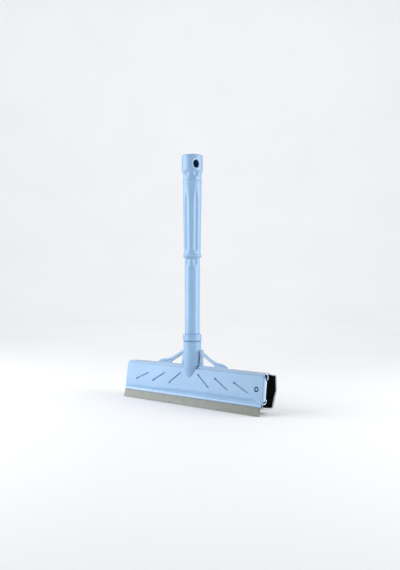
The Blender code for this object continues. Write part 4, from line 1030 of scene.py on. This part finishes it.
# -------------------------------------------------------------------- screws
screw_line = [(0, 0), (0.9, 0.35), (1.2, 0.7)]
screw_line += [(1.22 + 0.22 * (0.5 - 0.5 * math.cos(2 * math.pi * (z - 0.8) / 0.62)), z) for z in spread(0.8, 3.7, 38)]
screw_line += [(1.25, 3.85), (2.55, 3.9), (2.75, 4.0), (2.8, 4.15)]
screw_line += [(2.8 * math.cos(math.radians(a)) ** 0.75, 4.15 + 1.4 * math.sin(math.radians(a))) for a in range(12, 90, 11)] + [(0, 5.58)]
screw_mesh = None
plus = [(-1.5, -0.35), (-0.35, -0.35), (-0.35, -1.5), (0.35, -1.5), (0.35, -0.35), (1.5, -0.35),
        (1.5, 0.35), (0.35, 0.35), (0.35, 1.5), (-0.35, 1.5), (-0.35, 0.35), (-1.5, 0.35)]
plus_soft = rounded(plus, [0.12] * 12, 3)
for number, (x, s) in enumerate(SCREWS, 1):
    here = HEAD_M @ Matrix.Translation(Vector((x, 1.3, -s)) * MM)
    if screw_mesh is None:
        screw = solid("screw_1", *along(screw_line, 64, (0, 0, 0)), here)
        boolean(screw, solid("drive", *plate(plus_soft, 4.7, 7.0, 0.2, 0), here))
        screw_mesh = screw.data
    else:
        screw = bpy.data.objects.new("screw_%d" % number, screw_mesh)
        bpy.context.scene.collection.objects.link(screw)
        screw.matrix_world = here
    if number == 1:
        finished(screw, screw_steel, "head", "plate_screw_1", smooth=35, weighted=False, place=False)
        screw_mesh = screw.data
    else:
        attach(screw, "head")
        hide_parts("plate_screw_%d" % number)

# --------------------------------------------------------------------- blade
blade_section = rounded([(0.8, 40.62), (2.98, 40.62), (2.98, 42.2), (2.78, 42.6), (0.45, 54.8), (-1.1, 54.8), (1.38, 42.6), (0.8, 42.1)],
                        [0.4, 0.4, 0.3, 0, 0.22, 0.22, 0, 0.25], 5)
dense = []
for i, p in enumerate(blade_section):
    q = blade_section[(i + 1) % len(blade_section)]
    gap = math.dist(p, q)
    parts = max(1, int(gap / 1.2))
    dense += [(p[0] + (q[0] - p[0]) * k / parts, p[1] + (q[1] - p[1]) * k / parts) for k in range(parts)]


def blade_at(x):
    """The strip, with the slight unevenness of a cut rubber edge."""
    out = []
    for n, s in dense:
        low = max(0.0, (s - 43.0) / 11.8)
        wave = 0.10 * low * noise.noise(Vector((x * 0.035, 3.1, 0.0))) + 0.03 * low * noise.noise(Vector((x * 0.22, s * 0.2, 7.0)))
        out.append((n + wave, min(s, 54.8) - 0.04 * low * abs(noise.noise(Vector((x * 0.3, 9.0, 0))))))
    return out


finished(solid("rubber_strip", *bar(blade_at, spread(-124.6, 122.0, 164), 0.3, 0.3), HEAD_M),
         blade_grey, "head", "blade", smooth=35, weighted=False)

# ------------------------------------------------------------ release button
button_line = [(0, -0.08), (0.6, -0.06), (1.1, 0.0), (1.45, 0.10), (1.70, 0.26), (1.85, 0.48), (1.9, 0.75), (1.9, 1.5), (3.35, 1.5), (3.5, 1.65),
               (3.5, 2.05), (3.35, 2.2), (1.7, 2.2), (1.7, 3.6), (1.4, 3.9), (0, 3.9)]
button = solid("button", *along(button_line, 96, (0, 0, 0)), HEAD_M @ Matrix.Translation(Vector((BUTTON_X, 0, -BUTTON_S)) * MM))
finished(button, button_blue, "button", "release_button", smooth=40, weighted=False)

# --------------------------------------------------------------- pad carrier
TRAY_N0, TRAY_N1, TRAY_S0, TRAY_S1, TRAY_T, TRAY_X0, TRAY_X1 = 5.2, 10.3, 4.0, 37.2, 1.6, -121.0, 123.2
tray_outer = rounded([(TRAY_N0, TRAY_S0), (TRAY_N1, TRAY_S0), (TRAY_N1, TRAY_S1), (TRAY_N0, TRAY_S1)], [0.5, 4.2, 4.2, 0.5], 12)
tray_inner = rounded([(TRAY_N0 - 2, TRAY_S0 + TRAY_T), (TRAY_N1 - TRAY_T, TRAY_S0 + TRAY_T), (TRAY_N1 - TRAY_T, TRAY_S1 - TRAY_T),
                      (TRAY_N0 - 2, TRAY_S1 - TRAY_T)], [0, 2.6, 2.6, 0], 10)
carrier = solid("carrier", *bar(lambda x: tray_outer, [TRAY_X0, -60.0, 0.0, 60.0, TRAY_X1], 0.3, 0.45), HEAD_M)
boolean(carrier, solid("tray_in", *bar(lambda x: tray_inner, [TRAY_X0 - 5, 0.0, TRAY_X1 - TRAY_T], 0.1, 0.5), HEAD_M))
end_panel = rounded([(6.35, 5.15), (9.2, 5.15), (9.2, 36.05), (6.35, 36.05)], [0.5, 1.25, 1.25, 0.5], 8)
panel_rings = [(TRAY_X1 + 0.8, -0.25)]
for i in range(4):
    a = math.radians(90 * i / 3)
    panel_rings.append((TRAY_X1 - 0.25 * (1 - math.cos(a)) - 0.004, -0.25 * (1 - math.sin(a))))
panel_rings += [(TRAY_X1 - 0.45, 0.0), (TRAY_X1 - 0.55, 0.12)]
boolean(carrier, solid("panel", *loft([[(x, n, -s) for n, s in offset(end_panel, d)] for x, d in panel_rings]), HEAD_M))
boolean(carrier, solid("seat", *plate(rounded([(87.0, 17.3), (95.0, 17.3), (95.0, 25.3), (87.0, 25.3)], 1.5, 6), 6.8, TRAY_N1 - 0.6, 0.2, 0), HEAD_M), "UNION")
boolean(carrier, solid("rivet_hole", *along([(0, 6.0), (1.5, 6.0), (1.5, 9.4), (0, 9.4)], 40, (92.0, 0, -BUTTON_S)), HEAD_M))
finished(carrier, carrier_blue, "pad", "pad_carrier", smooth=30)

leaf = rounded([(87.5, 17.8), (119.0, 17.8), (119.0, 24.8), (87.5, 24.8)], 1.6, 8)
spring = solid("leaf_spring", *plate(leaf, 5.9, 6.5, 0.12, 0.12, 2), HEAD_M)
boolean(spring, solid("pip", *along([(0, 4.2), (0.5, 4.22), (1.0, 4.32), (1.4, 4.6), (1.62, 4.95), (1.7, 5.3), (1.72, 6.2), (0, 6.2)], 48, (BUTTON_X, 0, -BUTTON_S)), HEAD_M), "UNION")
boolean(spring, solid("sh", *along([(0, 4.0), (1.5, 4.0), (1.5, 8.0), (0, 8.0)], 40, (92.0, 0, -BUTTON_S)), HEAD_M))
finished(spring, spring_steel, "latch", "latch_spring", smooth=35)
rivet = solid("rivet", *along([(0, 5.15), (0.8, 5.16), (1.5, 5.22), (2.1, 5.36), (2.4, 5.5), (2.4, 5.6), (1.2, 5.6), (1.2, 9.0), (0, 9.0)], 48,
                              (92.0, 0, -BUTTON_S)), HEAD_M)
finished(rivet, spring_steel, "pad", "spring_rivet", smooth=35, weighted=False)

# ----------------------------------------------------------------- wash pad
PAD_X0, PAD_X1, CLOTH_T = -121.0, 123.0, 1.1


def spaced(points, step, closed=False):
    """The same line with a point every step."""
    p = np.array(list(points) + ([points[0]] if closed else []), float)
    seg = np.linalg.norm(np.diff(p, axis=0), axis=1)
    run = np.concatenate([[0], np.cumsum(seg)])
    count = max(2, int(round(run[-1] / step)))
    at = np.linspace(0, run[-1], count + 1)
    out = np.stack([np.interp(at, run, p[:, k]) for k in range(2)], 1)
    return [tuple(q) for q in (out[:-1] if closed else out)]


foam_corners = [(13.2, 1.75), (30.1, 2.85), (33.2, 22.3), (27.2, 43.95), (6.4, 42.9), (6.4, 40.6), (8.4, 40.7), (11.8, 38.7), (13.3, 35.6),
                (13.3, 32.8), (10.65, 32.8), (10.65, 9.1), (13.3, 9.1)]
foam_loop = spaced(rounded(foam_corners, [0.8, 2.2, 3.0, 2.4, 0.3, 0.3, 0.5, 1.0, 1.0, 0.2, 0.3, 0.3, 0.2], 6), 1.1, True)


def inside(y, z, ring):
    """Whether the point (y, z) lies in a closed outline."""
    hit = False
    for (y0, z0), (y1, z1) in zip(ring, ring[1:] + ring[:1]):
        if (z0 > z) != (z1 > z) and y < y0 + (z - z0) * (y1 - y0) / (z1 - z0):
            hit = not hit
    return hit


def foam_core():
    """The foam block: long sides plain, cut ends rough with open cells."""
    loops = []
    xs = [PAD_X0 + 0.9] + spread(PAD_X0 + 2.0, PAD_X1 - 2.2, 80) + [PAD_X1 - 1.1]
    for i, x in enumerate(xs):
        draw = 0.35 if i in (0, len(xs) - 1) else 0.12
        loops.append([(x, n, -s) for n, s in offset(foam_loop, draw)])
    verts, faces = loft(loops)
    faces = faces[2:]
    k = len(loops[0])
    for start in (0, len(verts) - k):
        ring = [Vector((verts[start + j][1], verts[start + j][2])) for j in range(k)]
        x = verts[start][0]
        pts = list(ring)
        tight = offset([tuple(p) for p in ring], 0.45)
        lo_y, hi_y = min(p.x for p in ring), max(p.x for p in ring)
        lo_z, hi_z = min(p.y for p in ring), max(p.y for p in ring)
        rows = int((hi_z - lo_z) / 0.62)
        for r in range(1, rows):
            z = lo_z + r * 0.62
            for c in range(1, int((hi_y - lo_y) / 0.72)):
                y = lo_y + c * 0.72 + (0.36 if r % 2 else 0.0)
                if inside(y, z, tight):
                    pts.append(Vector((y, z)))
        out = delaunay_2d_cdt(pts, [], [list(range(k))], 1, 1e-5)
        index = []
        for p, orig in zip(out[0], out[3]):
            if orig and orig[0] < k:
                index.append(start + orig[0])
            else:
                index.append(len(verts))
                verts.append((x, p.x, p.y))
        faces += [tuple(index[i] for i in f) for f in out[2]]
    rough = []
    for vx, vy, vz in verts:
        p = Vector((vx, vy, vz))
        if vx > PAD_X1 - 1.2 or vx < PAD_X0 + 1.0:
            d = 0.42 * noise.noise(p * 0.9) + 0.30 * noise.noise(p * 2.1 + Vector((5, 5, 5)))
            rough.append((vx + min(0.30, d) * (1.0 if vx > 0 else -1.0), vy, vz))
        else:
            rough.append((vx, vy + 0.10 * noise.noise(p * 0.5), vz))
    return rough, faces


foam_piece = solid("foam", *foam_core(), HEAD_M)
finished(foam_piece, black_foam, "pad", "foam_core", smooth=60, weighted=False)

# the cloth round it: a flat sheet laid round the block, filled out by its pressure
cloth_corners = [(13.1, -0.1), (31.6, 1.1), (35.0, 22.3), (28.6, 45.7), (6.1, 44.6)]
cloth_line = spaced(rounded(cloth_corners, [0, 2.2, 3.8, 2.8, 0], 8)[0:], 1.25)


def cloth_sheet():
    nx = 178
    k = len(cloth_line)
    verts, faces = [], []
    for i in range(nx + 1):
        x = PAD_X0 + (PAD_X1 - PAD_X0) * i / nx
        for n, s in cloth_line:
            verts.append((x, n, -s))
    for i in range(nx):
        for j in range(k - 1):
            a = i * k + j
            faces.append((a, a + k, a + k + 1, a + 1))
    me = bpy.data.meshes.new("cloth_cover")
    me.from_pydata([(x * MM, y * MM, z * MM) for x, y, z in verts], [], faces)
    ob = bpy.data.objects.new("cloth_cover", me)
    bpy.context.scene.collection.objects.link(ob)
    ob.matrix_world = HEAD_M
    # outward side first
    bm = bmesh.new()
    bm.from_mesh(me)
    bm.faces.ensure_lookup_table()
    mid = bm.faces[(nx // 2) * (k - 1) + k // 2]
    if mid.normal.y < 0:
        bmesh.ops.reverse_faces(bm, faces=bm.faces)
    bm.to_mesh(me)
    bm.free()
    return ob, nx, k


cover, cover_nx, cover_k = cloth_sheet()
rest_co = np.array([v.co for v in cover.data.vertices], float)


def fill_out(ob, nx, k, frames=18, most=0.0012):
    """Cloth simulation of the cover: held along its tucked edges and its two ends, puffed between."""
    group = ob.vertex_groups.new(name="held")
    for i in range(nx + 1):
        end = min(i, nx - i)
        for j in range(k):
            edge = min(j, k - 1 - j)
            w = 1.0 if edge == 0 else 0.0
            w = max(w, 1.0 if end == 0 else 0.0)
            if w:
                group.add([i * k + j], w, "REPLACE")
    mod = ob.modifiers.new("cover_cloth", "CLOTH")
    st = mod.settings
    st.quality = 6
    st.mass = 0.12
    st.tension_stiffness = st.compression_stiffness = 9.0
    st.shear_stiffness = 4.0
    st.bending_stiffness = 0.06
    st.use_pressure = True
    st.uniform_pressure_force = 3.2
    st.vertex_group_mass = "held"
    st.shrink_min = -0.035
    st.effector_weights.gravity = 0.0
    mod.collision_settings.use_collision = False
    sc = bpy.context.scene
    sc.frame_start, sc.frame_end = 1, frames
    mod.point_cache.frame_start, mod.point_cache.frame_end = 1, frames
    for f in range(1, frames + 1):
        sc.frame_set(f)
    dg = bpy.context.evaluated_depsgraph_get()
    me = ob.evaluated_get(dg).to_mesh()
    co = np.array([v.co for v in me.vertices], float)
    ob.evaluated_get(dg).to_mesh_clear()
    ob.modifiers.clear()
    sc.frame_set(1)
    move = co - rest_co
    size = np.linalg.norm(move, axis=1)
    keep = np.minimum(1.0, most / np.maximum(size, 1e-9))
    co = rest_co + move * keep[:, None]
    ob.data.vertices.foreach_set("co", co.astype(np.float32).ravel())
    ob.data.update()
    ob.vertex_groups.clear()
    return float(size.max() * 1000), float(size.mean() * 1000)


print("cover moved, mm:", fill_out(cover, cover_nx, cover_k))

sub = cover.modifiers.new("finer", "SUBSURF")
sub.levels = sub.render_levels = 1
applied(cover)
cover.data.update()
nrm = np.array([v.normal for v in cover.data.vertices], float)
co = np.array([v.co for v in cover.data.vertices], float)
pile = np.array([0.16 * noise.noise(Vector(p) * 900.0) + 0.10 * noise.noise(Vector(p) * 2100.0 + Vector((3, 1, 4)))
                 + 0.10 * noise.noise(Vector(p) * 120.0) for p in co]) * MM
co += nrm * pile[:, None]
cover.data.vertices.foreach_set("co", co.astype(np.float32).ravel())
cover.data.update()
thick = cover.modifiers.new("thickness", "SOLIDIFY")
thick.thickness, thick.offset, thick.use_even_offset = 1.35 * MM, -1.0, True
applied(cover)
finished(cover, pale_cloth, "pad", "pad_cloth", smooth=60, weighted=False)

# -------------------------------------------------------------------- camera
cam = bpy.data.objects.new("camera", bpy.data.cameras.new("camera"))
bpy.context.scene.collection.objects.link(cam)
cam.data.lens, cam.data.sensor_width = 42.19, 36.0
cam.location = Vector((611.9, -697.5, -167.3)) * MM
look = Vector((-0.6508, 0.7593, 0.0))
cam.rotation_mode = "QUATERNION"
cam.rotation_quaternion = look.to_track_quat("-Z", "Y")
cam.data.shift_y = 0.001
cam.data.clip_start, cam.data.clip_end = 0.01, 50.0
bpy.context.scene.camera = cam

# -------------------------------------------------------------------- studio
FLOOR_Z = cad_lo.z - 0.0002
side = Vector((look.y, -look.x, 0))      # to the camera's right


def bowl():
    """A pale round floor that curves up into a backdrop on every side."""
    line = [(0.0, 0.0), (0.5, 0.0), (1.0, 0.0), (1.5, 0.0), (1.9, 0.0)]
    line += [(1.9 + 1.5 * math.sin(math.radians(a)), 1.5 - 1.5 * math.cos(math.radians(a))) for a in range(5, 91, 5)]
    line += [(3.4, 1.9), (3.4, 2.3)]
    verts, faces = turned(line, 96)
    me = bpy.data.meshes.new("floor")
    me.from_pydata([(x, y, FLOOR_Z + z) for x, y, z in verts], [], faces)
    bm = bmesh.new()
    bm.from_mesh(me)
    bmesh.ops.recalc_face_normals(bm, faces=bm.faces)
    bm.faces.ensure_lookup_table()
    low = min(bm.faces, key=lambda f: f.calc_center_median().z)
    if low.normal.z < 0:
        bmesh.ops.reverse_faces(bm, faces=bm.faces)
    bm.to_mesh(me)
    bm.free()
    me.shade_smooth()
    ob = bpy.data.objects.new("floor", me)
    bpy.context.scene.collection.objects.link(ob)
    return ob


floor = bowl()
fm, fnt, fnodes, flinks, fb = nodes_of("pale_floor")
ft = Tree(fnt)
flinks.new(ft.ramp(ft.noise(ft.coords(), 3.0, 3.0, 0.5), [(0.3, (0.815, 0.82, 0.83)), (0.7, (0.835, 0.84, 0.85))]), fb.inputs["Base Color"])
fb.inputs["Roughness"].default_value = 0.8
floor.data.materials.append(fm)


def softbox(name, where, aim, w, h, radiance, tint=(1, 1, 1)):
    light = bpy.data.lights.new(name, "AREA")
    light.shape, light.size, light.size_y = "RECTANGLE", w, h
    light.energy = radiance * math.pi * w * h
    light.color = tint
    ob = bpy.data.objects.new(name, light)
    bpy.context.scene.collection.objects.link(ob)
    ob.location = where
    ob.rotation_mode = "QUATERNION"
    ob.rotation_quaternion = (Vector(aim) - Vector(where)).to_track_quat("-Z", "Y")
    ob.visible_camera = False
    return ob


centre = Vector((0, 0, -0.17))


def around(angle, far):
    """A place round the object, so many degrees from the camera's side (positive to its right)."""
    a = math.radians(angle)
    return centre - look * far * math.cos(a) + side * far * math.sin(a)


softbox("left_box", around(-82, 0.80) + Vector((0, 0, 0.26)), centre, 0.92, 0.85, 3.00)
softbox("right_box", around(74, 0.82) + Vector((0, 0, 0.10)), centre, 0.80, 0.85, 3.35)
softbox("top_box", centre + Vector((0, 0, 1.25)) - look * 0.15, centre, 0.9, 0.9, 0.6)
softbox("wall_box", centre + look * 0.9 + Vector((0, 0, 1.9)), centre + look * 3.3 + Vector((0, 0, 0.75)), 2.6, 1.0, 4.1)

world = bpy.data.worlds.new("studio")
bpy.context.scene.world = world
world.use_nodes = True
bg = world.node_tree.nodes["Background"]
bg.inputs["Color"].default_value = (0.97, 0.985, 1.0, 1.0)
bg.inputs["Strength"].default_value = 0.58
bpy.context.scene.view_settings.view_transform = "Standard"
bpy.context.scene.view_settings.look = "None"
